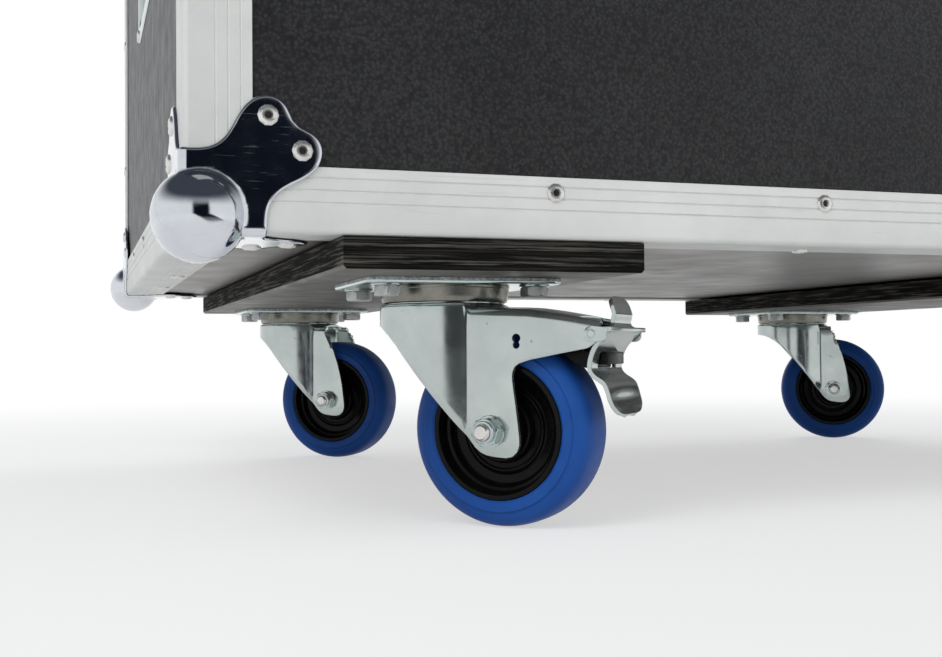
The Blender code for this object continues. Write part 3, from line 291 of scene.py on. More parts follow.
def scratches(material, tone, rough, amount=0.5, scale=30.0, seed=0.0):
    """Fine lines in three directions: noise drawn out long one way and cut off high, so few stay."""
    tree, _, where = parts_of(material)
    total = None
    for k, angle in enumerate((0.5 + seed, 2.1 + seed, 1.2 + seed)):
        drawn = node(tree, "Mapping", Vector=where, Rotation=(angle, angle * 1.7, angle * 0.6),
                     Scale=(1.0, 26.0, 26.0)).outputs[0]
        line = node(tree, "MapRange", Value=noise(tree, drawn, scale * (1 + 0.6 * k)), From_Min=0.70,
                    From_Max=0.74, To_Max=amount).outputs[0]
        total = line if total is None else maths(tree, "MAXIMUM", total, line)
    overlay(material, total, tone, rough)


# %% [markdown]
# ## Panels and boards
# The panels are plywood faced in a near-black laminate, pressed with fine pebbles so that scuffs hide.
# The underside is film-faced plywood, grey-brown, smooth and a little cloudy, with a faint woven mesh
# in the film. The castor boards are stained birch: on their edges the plies show as streaks.

# %% Laminate and film
laminate = finish("pebbled_laminate", (0.018, 0.018, 0.019), (0.025, 0.025, 0.026), gloss=(0.34, 0.46),
                  patch=14.0, bumps=(("cell", 620.0, 0.32), ("noise", 1500.0, 0.10)), shine=0.22)
scratches(laminate, (0.05, 0.05, 0.05), 0.55, amount=0.25, scale=12.0)
tree, _, where = parts_of(laminate)
pebble = cells(tree, where, 560.0)
# painted shade: the gaps between the pebbles are darkened, as if shade fell in them
overlay(laminate, ramp(tree, pebble, (0.42, 0.0), (0.75, 0.6)), (0.008, 0.008, 0.009))
# painted highlight: the middles of the pebbles are lightened, as if light caught their tops
overlay(laminate, ramp(tree, pebble, (0.08, 0.45), (0.42, 0.0)), (0.050, 0.050, 0.052))

film = finish("film_faced_ply", (0.150, 0.140, 0.128), (0.240, 0.226, 0.208), gloss=(0.30, 0.46),
              patch=7.0, bumps=(("noise", 180.0, 0.06),))
tree, _, where = parts_of(film)
weave = [node(tree, "TexWave", {"bands_direction": way}, Vector=where, Scale=150.0,
              Distortion=0.4).outputs["Fac"] for way in "XY"]
overlay(film, times(tree, times(tree, *weave), 0.35), (0.10, 0.092, 0.086), 0.5)
scratches(film, (0.30, 0.29, 0.28), 0.5, amount=0.3, scale=8.0, seed=0.7)

# %% Stained plywood
GLUE, GAP, PALE = (0.002, 0.002, 0.002), (0.003, 0.003, 0.003), (0.150, 0.143, 0.128)


def plies(material, low, thick, count, tones):
    """Bands of tone by height on upright faces, one per ply with a dark glue line, all streaked along the
    grain, and on the faces towards X paled along the streaks: a painted sheen of those faces at a grazing angle."""
    tree, shader, where = parts_of(material)
    waver = maths(tree, "SUBTRACT", noise(tree, where, 9.0), 0.5)
    height = maths(tree, "MULTIPLY_ADD", waver, 0.0012, coordinate(tree, where, "Z"))
    stops = []
    for k in range(count):
        stops += [(k / count, tones[k % len(tones)]), ((k + 0.82) / count, GLUE)]
    band = ramp(tree, maths(tree, "DIVIDE", maths(tree, "SUBTRACT", height, low), thick), *stops, sharp=True)
    grain = node(tree, "Mapping", Vector=where, Scale=(22.0, 22.0, 900.0)).outputs[0]
    streak = noise(tree, grain, 1.0, 7.0, 0.75)
    band = mix(tree, ramp(tree, streak, (0.46, 0.0), (0.53, 0.45), (0.60, 1.0)), GAP, band)
    facing = node(tree, "NewGeometry").outputs["Normal"]
    upright_face, long_side = (maths(tree, how, maths(tree, "ABSOLUTE", coordinate(tree, facing, axis)), 0.5)
                               for how, axis in (("LESS_THAN", "Z"), ("GREATER_THAN", "X")))
    # painted sheen: faces towards X turn pale along the grain streaks, for their look at a grazing angle
    grazing_sheen = times(tree, ramp(tree, streak, (0.53, 0.0), (0.56, 0.7)), long_side)
    overlay(material, upright_face, mix(tree, grazing_sheen, band, PALE), 0.88)
    add_bump(tree, shader, streak, 0.7, 0.5)


board_low, board_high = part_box("castor_board_left")
board = finish("stained_ply", (0.095, 0.090, 0.079), (0.160, 0.152, 0.136), gloss=(0.34, 0.52), patch=9.0,
               bumps=(("noise", 160.0, 0.05),), shine=0.15)
plies(board, board_low.z, board_high.z - board_low.z, 6,
      [(0.020, 0.018, 0.015), (0.075, 0.070, 0.060), (0.045, 0.042, 0.036)])
print("board plies between", round(board_low.z, 4), "and", round(board_high.z, 4))

# %% [markdown]
# ## Metals, rubber and nylon
# The edging is satin anodised aluminium. The ball corners are bright plated steel, close to a mirror.
# The castors are zinc plated: duller than chrome, a little blue-green, and pitted where the plating
# is thin. The tyres are blue elastic rubber, and the hubs black nylon.

# %% Metal finishes
aluminium = finish("satin_aluminium", (0.58, 0.59, 0.575), (0.66, 0.67, 0.65), metal=0.2,
                   gloss=(0.30, 0.46), patch=18.0, bumps=(("noise", 700.0, 0.012),), shine=0.3)
scratches(aluminium, (0.46, 0.47, 0.46), 0.5, amount=0.3, scale=14.0)
chrome = finish("bright_plate", (0.60, 0.62, 0.66), (0.74, 0.76, 0.80), metal=1.0, gloss=(0.05, 0.13),
                patch=24.0, bumps=(("noise", 60.0, 0.05),))
scratches(chrome, (0.55, 0.57, 0.62), 0.42, seed=0.3)
zinc = finish("zinc_plate", (0.44, 0.49, 0.475), (0.54, 0.59, 0.575), metal=0.9, gloss=(0.11, 0.19),
              patch=26.0, bumps=(("noise", 240.0, 0.014), ("noise", 900.0, 0.004)))
tree, _, where = parts_of(zinc)
pit = times(tree, ramp(tree, cells(tree, where, 170.0), (0.05, 1.0), (0.15, 0.0)),
            ramp(tree, noise(tree, where, 60.0), (0.52, 0.0), (0.60, 0.8)))
overlay(zinc, pit, (0.16, 0.19, 0.20), 0.6)
glossy_zinc = finish("rolled_zinc", (0.40, 0.52, 0.52), (0.60, 0.69, 0.68), metal=0.95, gloss=(0.10, 0.20),
                     patch=22.0, bumps=(("noise", 300.0, 0.02),))
sheared = finish("sheared_edge", (0.16, 0.17, 0.17), (0.66, 0.70, 0.70), metal=0.7, gloss=(0.35, 0.7),
                 patch=420.0, bumps=(("noise", 700.0, 0.35),))
race_steel = finish("turned_steel", (0.15, 0.148, 0.130), (0.27, 0.265, 0.235), metal=1.0, gloss=(0.20, 0.34),
                    patch=34.0, bumps=(("noise", 420.0, 0.02),))
bolt_steel = finish("bolt_steel", (0.44, 0.45, 0.45), (0.62, 0.63, 0.62), metal=0.7, gloss=(0.38, 0.55),
                    patch=60.0, bumps=(("noise", 500.0, 0.05),))
rivet_steel = finish("rivet_nickel", (0.62, 0.61, 0.58), (0.80, 0.79, 0.76), metal=0.85, gloss=(0.18, 0.34),
                     patch=90.0, bumps=(("noise", 500.0, 0.03),))
# painted shade: near-black for the floors of rivet holes and screw recesses, where shade falls
painted_hole_shade = finish("rivet_hole", (0.006, 0.006, 0.006), (0.02, 0.02, 0.02), gloss=(0.6, 0.9), patch=90.0)

# %% Rubber, nylon and coated steel
rubber = finish("blue_rubber", (0.007, 0.052, 0.235), (0.012, 0.078, 0.320), gloss=(0.42, 0.56), patch=16.0,
                bumps=(("noise", 520.0, 0.03),), shine=0.2)
scratches(rubber, (0.05, 0.11, 0.28), 0.6, amount=0.2, scale=20.0, seed=0.2)
nylon = finish("black_nylon", (0.002, 0.002, 0.002), (0.004, 0.004, 0.004), gloss=(0.20, 0.34), patch=40.0,
               bumps=(("noise", 650.0, 0.02),), shine=0.12)
coated = finish("black_coated_steel", (0.006, 0.006, 0.007), (0.020, 0.020, 0.022), gloss=(0.25, 0.42),
                bumps=(("noise", 800.0, 0.03),))
soft_black = finish("black_grip", (0.008, 0.008, 0.008), (0.018, 0.018, 0.018), gloss=(0.55, 0.75),
                    bumps=(("cell", 700.0, 0.08),))

# %% Finishes on the solids that keep their shape
BY_SLOT = {"laminate": laminate, "film_ply": film, "stained_ply": board, "aluminium": aluminium,
           "chrome": chrome, "zinc": zinc, "blue_rubber": rubber, "black_nylon": nylon,
           "black_steel": coated}
slots = {part["node"]: part["material_slot"] for part in frame["record"]["subparts"]}
for name, solid in frame["nodes"].items():
    solid.data.materials.clear()
    solid.data.materials.append(BY_SLOT[slots[name]])
print("finishes laid on", len(slots), "solids")

# %% [markdown]
# ## Surfaces from numbers
# A shell here is a set of points, the faces between them, a place along and across for streaks, and a
# finish number. Most shells are a grid: an array of rows and columns of points, whose neighbours are
# joined by four-sided faces. Where a grid closes on itself its first row comes again at the end, and
# the doubles are merged when the piece is made.

# %% Shells
def grid(points, keep=None):
    """A shell from rows x columns x 3 points. keep, where given, drops faces: True stays."""
    points = np.asarray(points, float)
    rows, cols = points.shape[:2]
    r, c = np.meshgrid(np.arange(rows - 1), np.arange(cols - 1), indexing="ij")
    corner = r * cols + c
    faces = np.stack([corner, corner + 1, corner + cols + 1, corner + cols], -1)
    faces = faces[keep] if keep is not None else faces.reshape(-1, 4)
    across = np.concatenate([[0], np.linalg.norm(np.diff(points.mean(1), axis=0), axis=1).cumsum()])
    along = np.concatenate([[0], np.linalg.norm(np.diff(points, axis=1), axis=2).max(0).cumsum()])
    uv = np.stack(np.broadcast_arrays(along[None, :], across[:, None]), -1)
    return {"points": points.reshape(-1, 3), "faces": faces.tolist(), "uv": uv.reshape(-1, 2),
            "finish": [0] * len(faces)}


def capped(rows):
    """The shells of a closed bar: a grid whose rows are closed loops, and a flat face over each end."""
    ends = [{"points": row[:-1], "faces": [list(range(len(row) - 1))], "uv": row[:-1, :2], "finish": [0]}
            for row in (rows[0], rows[-1])]
    return [grid(rows)] + ends


def painted(shell, number):
    """The same shell with one finish number on all its faces."""
    return dict(shell, finish=[number] * len(shell["finish"]))


def put(shells, origin, axes=np.eye(3)):
    """Carry shells from a piece's own axes (rows of a 3 x 3 array) to a place in the room."""
    return [dict(s, points=s["points"] @ np.asarray(axes, float) + np.asarray(origin, float)) for s in shells]


def turned(profile, sides=32):
    """A turned shape: each (radius, height) of the profile goes once round the Z axis. Millimetres in."""
    profile = np.asarray(profile, float) * MM
    angle = np.linspace(0, 2 * np.pi, sides + 1)
    return grid(np.stack([profile[:, :1] * np.cos(angle), profile[:, :1] * np.sin(angle),
                          np.repeat(profile[:, 1:], sides + 1, 1)], -1))


def axes_from(up, hint=(0.0, 0.0, 1.0)):
    """Three axes whose third is up, for put()."""
    up = np.asarray(up, float) / np.linalg.norm(up)
    if abs(up @ np.asarray(hint)) > 0.95:
        hint = (1.0, 0.0, 0.0)
    first = np.cross(hint, up)
    first /= np.linalg.norm(first)
    return np.array([first, np.cross(up, first), up])


# %% Lines
def arc(centre, radius, start, end, count):
    """Points on a circle from start to end, in degrees."""
    t = np.radians(np.linspace(start, end, count))
    return np.stack([centre[0] + radius * np.cos(t), centre[1] + radius * np.sin(t)], -1)


def lengths(points):
    """How far along a line each of its points lies."""
    return np.concatenate([[0], np.linalg.norm(np.diff(points, axis=0), axis=1).cumsum()])


def smooth_line(points, count):
    """A smooth line through points: each coordinate follows the length by cubic pieces (Catmull-Rom)."""
    p = np.asarray(points, float)
    p = np.vstack([2 * p[0] - p[1], p, 2 * p[-1] - p[-2]])
    t = np.linspace(0, len(points) - 1, count)
    k = np.minimum(t.astype(int), len(points) - 2)
    f = (t - k)[:, None]
    a, b, c, d = p[k], p[k + 1], p[k + 2], p[k + 3]
    return 0.5 * (2 * b + (c - a) * f + (2 * a - 5 * b + 4 * c - d) * f**2 + (3 * b - a - 3 * c + d) * f**3)


def side_of(line):
    """At each point of a flat line, the direction a quarter turn to the left of the way it runs."""
    step = np.gradient(line, axis=0)
    side = np.stack([-step[:, 1], step[:, 0]], -1)
    return side / np.maximum(np.linalg.norm(side, axis=1, keepdims=True), 1e-9)


# %% Pieces
def mesh_of(name, shells):
    """Join shells (metres) in one mesh: merge doubles and turn faces outwards."""
    counts = np.cumsum([0] + [len(s["points"]) for s in shells])
    faces = [[k + int(start) for k in f] for s, start in zip(shells, counts) for f in s["faces"]]
    mesh = bpy.data.meshes.new(name)
    mesh.from_pydata(np.concatenate([s["points"] for s in shells]).tolist(), [], faces)
    mesh.polygons.foreach_set("material_index", [n for s in shells for n in s["finish"]])
    corner_points = np.zeros(len(mesh.loops), np.int32)
    mesh.loops.foreach_get("vertex_index", corner_points)
    uv = np.concatenate([s["uv"] for s in shells])
    mesh.uv_layers.new(name="lay").data.foreach_set("uv", uv[corner_points].ravel())
    shape = bmesh.new()
    shape.from_mesh(mesh)
    bmesh.ops.remove_doubles(shape, verts=shape.verts, dist=4e-6)
    bmesh.ops.recalc_face_normals(shape, faces=shape.faces)
    shape.to_mesh(mesh)
    shape.free()
    return mesh


def settle(thing, crease=32.0):
    """Keep what the modifiers make, and shade it smooth up to an edge of crease degrees."""
    if thing.modifiers:
        settled = thing.evaluated_get(bpy.context.evaluated_depsgraph_get())
        thing.data = bpy.data.meshes.new_from_object(settled)
        thing.modifiers.clear()
    thing.data.shade_smooth()
    thing.data.set_sharp_from_angle(angle=math.radians(crease))


def harden(thing, wall, bevel, crease=32.0):
    """Give a sheet a wall inwards and soft edges, where their size isn't 0."""
    if wall:
        solidify = thing.modifiers.new("wall", "SOLIDIFY")
        solidify.thickness, solidify.offset = wall, -1.0
    if bevel:
        soften = thing.modifiers.new("soften", "BEVEL")
        soften.width, soften.segments = bevel, 2
        soften.limit_method, soften.angle_limit = "ANGLE", math.radians(40)
    settle(thing, crease)


def piece(name, shells, finishes, body, stands_for="", wall=0.0, bevel=0.0, crease=32.0):
    """A piece from shells. It rides on a body, and takes the place of a solid where one is named."""
    mesh = mesh_of(name, shells)
    for made in finishes:
        mesh.materials.append(made)
    thing = show(name, mesh)
    harden(thing, wall, bevel, crease)
    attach(thing, body)
    if stands_for:
        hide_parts(stands_for)
    triangles = sum(len(p.vertices) - 2 for p in thing.data.polygons)
    points = np.array([v.co for v in thing.data.vertices])
    size = np.round((points.max(0) - points.min(0)) / MM, 1)
    print(f"{name}: {triangles} triangles, {size[0]:g} x {size[1]:g} x {size[2]:g} mm")
    return thing


# %% [markdown]
# ## Edging
# The edges of a flight case are aluminium angles, bent round the corner with a radius of 3 mm and
# drawn with three fine grooves on each leaf. A drawn section is the same all along, so it is one
# outline carried along a line. The ends are cut at 45 degrees, which only moves each point of the
# outline along by its own distance from the outer face.

# %% Sections of the edging
low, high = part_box("body_frame")
HALF_WIDTH, HALF_DEPTH, BOTTOM, TOP = high.x, high.y, low.z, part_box("lid_frame")[1].z
SEAM, CLEAR = 0.593, 0.0003
LEAF, WALL, OUTER_RADIUS = 30.0, 1.5, 3.0
GROOVES = (25.0, 19.5, 14.0)
TONGUE = [(4.1, 0), (4.65, 0.4), (4.8, 3.5), (5.3, 4), (7, 4), (7.5, 3.5), (7.65, 0.4), (8.2, 0)]
LIP = [(12.1, 0), (12.6, -0.5), (12.6, -11.6), (12.2, -12), (11.5, -12), (11.1, -11.6), (11.1, -WALL),
       (WALL, -WALL)]
CHANNEL_IN = [(4, 0), (4, 4.7), (8.3, 4.7), (8.3, 0)]
CHANNEL_OUT = [(9.5, 1.5), (9.5, 5.9), (2.8, 5.9), (2.8, 1.5)]


def flipped(points):
    """The same outline upside down."""
    return [(x, -y) for x, y in points]


outer_leaf = [(WALL, -LEAF), (0.5, -LEAF), (0.14, -LEAF + 0.14), (0.0, -LEAF + 0.5)]
for at in GROOVES:
    outer_leaf += [(0.0, -at - 0.62), (0.16, -at - 0.40), (0.46, -at), (0.16, -at + 0.40), (0.0, -at + 0.62)]
bend = arc((OUTER_RADIUS, OUTER_RADIUS), OUTER_RADIUS, 180, 270, 7)
leaf = flipped(outer_leaf)
angle_section = np.array(leaf + [tuple(p) for p in bend] + [(y, x) for x, y in reversed(leaf)]
                         + [(2.3, WALL), (1.74, 1.74), (WALL, 2.3)])
ROUNDED = [(0.0, -0.7), (0.2, -0.2), (0.7, 0.0)]
body_rim = np.array(outer_leaf + ROUNDED + TONGUE + LIP)
lid_rim = np.array(leaf + flipped(ROUNDED) + CHANNEL_IN + flipped(LIP[:-1]) + CHANNEL_OUT + [(WALL, WALL)])
inner_lip = np.array([(11.1, 0.0), (12.6, 0.0), (12.6, -12.0), (11.1, -12.0)])
print("angle section", len(angle_section), "points, body rim", len(body_rim), "lid rim", len(lid_rim))

# %% Bars along the edges
X, Y, Z = np.eye(3)
SIDES = {"front": (X, Y, (-1, -1), HALF_WIDTH), "right": (Y, -X, (1, -1), HALF_DEPTH),
         "back": (-X, -Y, (1, 1), HALF_WIDTH), "left": (-Y, X, (-1, 1), HALF_DEPTH)}
JOINT_GAP = 0.00008
LATCH_AT, POCKET_HALF = 0.230, 0.0475


def bar(section, corner, along, inward, upward, start, end, cut=(1.0, 1.0)):
    """Carry a section (inset, height in mm) along a line, from start to end in metres from a corner. cut
    is how far each end steps in for each mm of inset."""
    section = np.vstack([section, section[:1]]) * MM
    t = np.stack([start + cut[0] * section[:, 0] + JOINT_GAP, end - cut[1] * section[:, 0] - JOINT_GAP])
    return capped(np.asarray(corner, float) + t[..., None] * along + section[:, :1] * inward
                  + section[:, 1:] * upward)


def ring_of_bars(section, height, up, skip=()):
    """Four mitred bars round the case at a height, in the order of SIDES."""
    shells = []
    for name, (along, inward, signs, half) in SIDES.items():
        if name not in skip:
            corner = (signs[0] * HALF_WIDTH, signs[1] * HALF_DEPTH, height)
            shells += bar(section, corner, along, inward, up, 0.0, 2 * half)
    return shells


def front_rim(section, height, lip_sign):
    """The front rim: its outer leaf stops at the latches, and only its inner lip runs on past them."""
    corner = (-HALF_WIDTH, -HALF_DEPTH, height)
    stops = [0.0] + [HALF_WIDTH + way * LATCH_AT + side * POCKET_HALF for way in (-1, 1) for side in (-1, 1)]
    stops.append(2 * HALF_WIDTH)
    shells = []
    for k, cut in enumerate(((1.0, 0.0), None, (0.0, 0.0), None, (0.0, 1.0))):
        shape = inner_lip * (1, lip_sign) if cut is None else section
        shells += bar(shape, corner, X, Y, Z, stops[k], stops[k + 1], cut or (0.0, 0.0))
    return shells


def uprights(low_z, high_z):
    """Angles up the four vertical corners."""
    return [shell for sx in (-1, 1) for sy in (-1, 1) for shell in
            bar(angle_section, (sx * HALF_WIDTH, sy * HALF_DEPTH, low_z), Z, -sx * X, -sy * Y, 0.0,
                high_z - low_z, (0.0, 0.0))]


def edging(rim, rim_at, lip_sign, end, up, low_z, high_z):
    """All bars of the body or the lid: angles at its outer end, the rim at the seam, and the uprights."""
    return (ring_of_bars(angle_section, end, up) + ring_of_bars(rim, rim_at, Z, ("front",))
            + front_rim(rim, rim_at, lip_sign) + uprights(low_z, high_z))


LEAF_END = LEAF * MM + CLEAR
body_bars = edging(body_rim, SEAM - CLEAR, 1.0, BOTTOM, Z, BOTTOM + LEAF_END, SEAM - LEAF_END - CLEAR)
lid_bars = edging(lid_rim, SEAM + CLEAR, -1.0, TOP, -Z, SEAM + LEAF_END + CLEAR, TOP - LEAF_END)
piece("edging_body", body_bars, [aluminium], "case", "body_frame", crease=24)
piece("edging_lid", lid_bars, [aluminium], "lid", "lid_frame", crease=24)

# %% [markdown]
# ## Rivets
# Tubular rivets hold the edging and the corners. Each has a low round head with a hole in the middle
# where the pin was drawn through. There are a few hundred of them, so one is only sixty faces: a
# profile turned round its axis in ten steps, with the floor of the hole in a near-black painted shade.

# %% Rivets
rivet = turned([(0, 0), (4.75, 0), (4.55, 0.55), (3.2, 1.25), (2.05, 1.35), (1.55, 0.25), (0, 0.20)], 10)
# the floor of the hole takes the second finish, a painted shade
rivet["finish"] = [0] * 50 + [1] * 10
LINE, LATCH_CLEAR = 0.0225, 0.062
FRONT_X = np.array([0.173, 0.324, 0.476, 0.627]) - HALF_WIDTH
SIDE_Y = np.array([0.167, 0.300, 0.433]) - HALF_DEPTH
BODY_Z = BOTTOM + np.array([0.112, 0.225, 0.338])
body_rivets, lid_rivets = [], []


def rivets_on(face_axis, sign, spots):
    """Rivets on a face of the case: spots are places along the other two axes, in metres."""
    out = sign * (HALF_WIDTH, HALF_DEPTH)[face_axis] if face_axis < 2 else (BOTTOM if sign < 0 else TOP)
    facing = axes_from(sign * np.eye(3)[face_axis])
    return [shell for spot in spots for shell in put([rivet], np.insert(spot, face_axis, out), facing)]


for sign in (-1, 1):
    for z, store in ((BOTTOM + LINE, body_rivets), (SEAM - LINE, body_rivets), (SEAM + LINE, lid_rivets),
                     (TOP - LINE, lid_rivets)):
        # at the seam the back has its hinge and the front its latches
        at_seam = abs(z - SEAM) < 0.05
        free = [x for x in FRONT_X if not at_seam or (sign < 0 and abs(abs(x) - LATCH_AT) > LATCH_CLEAR)]
        store += rivets_on(1, sign, [(x, z) for x in free])
        store += rivets_on(0, sign, [(y, z) for y in SIDE_Y])
    for side in (-1, 1):
        body_rivets += rivets_on(1, sign, [(side * (HALF_WIDTH - LINE), z) for z in BODY_Z])
        body_rivets += rivets_on(0, sign, [(side * (HALF_DEPTH - LINE), z) for z in BODY_Z])
    for way, store in ((-1, body_rivets), (1, lid_rivets)):
        store += rivets_on(2, way, [(x, sign * (HALF_DEPTH - LINE)) for x in FRONT_X])
        store += rivets_on(2, way, [(sign * (HALF_WIDTH - LINE), y) for y in SIDE_Y])

# %% [markdown]
# ## Ball corners
# A ball corner is one blank of steel pressed over a corner: three leaves that fold over the edges, with
# a big round knob in the middle that takes the knocks. The surface is one formula. Take a point on the
# corner of a box, round the box's edges by 4 mm, and then push every point that is nearer than 20.7 mm
# to the knob's centre out to that distance, with a soft blend where the two meet.

# %% Ball corner surface
BALL_CENTRE, BALL_RADIUS, BLEND = 7.5, 20.7, 1.8
LEAF_TOP, LEAF_UNDER = -1.8, -0.32
THICK = LEAF_UNDER - LEAF_TOP
HALF_OUTLINE = [(36, LEAF_TOP), (36, 2), (36.1, 6), (36.8, 10.5), (38.8, 14.8), (42.2, 18.3), (46.6, 21),
                (51.5, 23.6), (56.2, 27), (59.4, 31.2), (60.6, 36), (59.6, 40.6), (56.9, 44), (53.2, 46),
                (50.4, 47.4), (48.9, 48.9)]
ORDERS = ([0, 1, 2], [2, 0, 1], [1, 2, 0])
CORNER_RIVETS = ((51.4, 36.4), (36.4, 51.4))


def knobbed_box(flat, depth, edge_radius, knob=0.1):
    """A line at a depth on a box's corner, rounded at the box's edges and blended with the knob's sphere."""
    q = np.column_stack([flat, np.full(len(flat), depth)])
    core = np.maximum(q, depth + edge_radius)
    away = q - core
    p = core + edge_radius * away / np.maximum(np.linalg.norm(away, axis=-1, keepdims=True), 1e-9)
    arm = p - BALL_CENTRE
    far = np.linalg.norm(arm, axis=-1, keepdims=True)
    near = np.maximum(BLEND - np.abs(far - knob), 0.0)
    return BALL_CENTRE + arm / far * (np.maximum(far, knob) + near**2 / (4 * BLEND))


half = smooth_line(HALF_OUTLINE, 40)
outline = np.vstack([half, half[-2::-1, ::-1]])
outward = -side_of(outline)
outward[0], outward[-1] = (1.0, 0.0), (0.0, 1.0)
rows = [knobbed_box(LEAF_TOP + t * (outline - outward * THICK - LEAF_TOP), LEAF_TOP, 4.0, BALL_RADIUS)
        for t in np.concatenate([np.linspace(0, 0.62, 26), np.linspace(0.66, 1.0, 9)])]
for a in np.radians([18, 36, 54, 72, 90]):
    drop = THICK * (1 - math.cos(a))
    rows.append(knobbed_box(outline - outward * THICK * (1 - math.sin(a)), LEAF_TOP + drop, 4.0 - drop))
rows += [knobbed_box(LEAF_UNDER + t * (outline - LEAF_UNDER), LEAF_UNDER, 2.5) for t in (0.7, 0.35, 0.0)]
corner_shells = [grid(np.array(rows)[..., order] * MM) for order in ORDERS]


def add_rivet(store, spot, facing):
    """One more rivet for a list."""
    store += put([rivet], spot, axes_from(facing))


for sx, side in ((-1, "left"), (1, "right")):
    for sy, end in ((-1, "front"), (1, "rear")):
        for sz, kind, body, height, store in ((1, "body", "case", BOTTOM, body_rivets),
                                              (-1, "lid", "lid", TOP, lid_rivets)):
            where = np.array([sx * HALF_WIDTH, sy * HALF_DEPTH, height])
            into = np.array([-sx, -sy, sz], float)
            piece(f"corner_{kind}_{end}_{side}", put(corner_shells, where, np.diag(into)), [chrome], body,
                  f"{kind}_ball_corner_{end}_{side}", crease=50)
            for first, second in CORNER_RIVETS:
                for order in ORDERS:
                    spot = np.array([first, second, LEAF_TOP])[order] * MM * into
                    add_rivet(store, where + spot, np.array([0, 0, -1.0])[order] * into)

# %% [markdown]
# ## Where the castors are
# Each castor has its own axes: d runs from the kingpin towards the wheel's axle, a runs along the axle,
# and z is up, with its zero on the underside of the board. The joints of the frame give the kingpins
# and the axles, so nothing is typed twice, and one set of shapes serves all four castors.

# %% Castor places
joint = {j["name"]: j for j in frame["joints"]}
CASTORS = {}
for name in ("front_left", "front_right", "rear_left", "rear_right"):
    spin = joint[f"spin_{name}"]
    axle = np.array(spin["axis"], float)
    out = np.array([axle[1], -axle[0], 0.0])
    CASTORS[name] = (np.array(joint[f"swivel_{name}"]["pos_m"], float), np.array([out, axle, [0, 0, 1.0]]),
                     np.array(spin["pos_m"], float))
    print(name, "turned", round(math.degrees(math.atan2(-out[1], out[0])), 1), "degrees")


def along_axle(axes):
    """A castor's axes with the third along its axle, for turned shapes."""
    return np.array([axes[0], axes[2], -axes[1]])


# %% [markdown]
# ## The fork
# The fork is pressed from one sheet, and it is the piece of this case that takes the most skill. Its
# crown is a round cup, 70 mm across, under the ball race. In front of it two flat cheeks stand 48 mm
# apart, so the cup runs into them in a hollow bend. A long slanting cut, the rake, frees the wheel
# behind. On the front castors the cheeks carry on as two arms with a roof between them.
# The plan below is the line that the sheet follows seen from above. At each step of it the wall hangs
# from a shoulder line at the top to a cut line at the bottom, both read from the photograph, and the
# roof runs from the shoulder in to the middle. The sheet gets its 2.5 mm inwards, and a fine bevel,
# which is what makes the cut edge bright.

# %% Plan and cut lines of the fork
CUP, CHEEK, HOLLOW, CROWN, SHOULDER = 34.8, 23.8, 4.0, -12.3, 4.3
RAKE = [(-34.8, -22.6), (-30.9, -23.2), (-27, -24), (-23.2, -25.6), (-17.7, -28.9), (-11.6, -34),
        (-3, -43.9), (7, -56.3), (14.4, -65.9), (22.1, -76.4), (27.3, -83.6)]
LEG_END = [(27.3, -83.6), (29.6, -86.4), (32.6, -88.8), (36, -90.1), (40.5, -90.8), (46.5, -91.2),
           (50, -90.4), (52.6, -88), (53.8, -85), (53.9, -82), (53.4, -77), (51.9, -64.5)]
# the arm's lower edge, and the rear fork's plain edge, each with the place on the shoulder it hangs from
ARM_LOW = [(50.7, -56, 43.5), (50.2, -51.6, 45.6), (50.3, -48.4, 48.2), (51.5, -45.6, 52), (54, -43.7, 56.5),
           (60, -41.9, 62.5), (76.3, -38.9, 77.5), (89.6, -36.6, 89.5), (91.2, -36.2, 91),
           (93.6, -34.4, 93.5), (96.2, -32.1, 96.4)]
PLAIN_EDGE = [(50.2, -56, 35.8), (47.8, -46.5, 36), (44, -35.5, 36.2), (39.6, -26.5, 36.4),
              (36.6, -21.4, 36.6)]
ARM_SHOULDER = [(27, -19), (38.5, -19.7), (50, -20.2), (58, -20.7), (68, -22.2), (77.8, -24), (88, -25.9),
                (95.6, -27.3)]
KEYHOLE = ((52.7, -31.1, 2.3), (52.7, -34.5, 1.9))


def fork_plan(braked):
    """Half of the plan, from the free end along the cheek, through the hollow bend, round the cup. With
    it come the cheek's cut line and how much of the cup each step has."""
    centre_d = math.sqrt((CUP + HOLLOW) ** 2 - (CHEEK + HOLLOW) ** 2)
    meet = math.degrees(math.atan2(CHEEK + HOLLOW, centre_d))
    hung = np.linspace(centre_d + 0.2, 43.0 if braked else 35.6, len(LEG_END))
    edge = np.vstack([np.column_stack([LEG_END, hung]), ARM_LOW if braked else PLAIN_EDGE])[::-1]
    run = lengths(edge)
    edge = np.stack([np.interp(np.linspace(0, run[-1], 76), run, column) for column in edge.T], -1)
    straight = np.column_stack([edge[:, 2], np.full(len(edge), -CHEEK)])
    bend = arc((centre_d, -CHEEK - HOLLOW), HOLLOW, 90, 180 - meet, 8)
    cup = arc((0, 0), CUP, -meet, -180, 84)[1:]
    is_cup = np.concatenate([np.zeros(len(edge)), np.linspace(0, 1, 8) ** 2, np.ones(83)])
    return np.vstack([straight, bend, cup]), edge[:, :2], is_cup


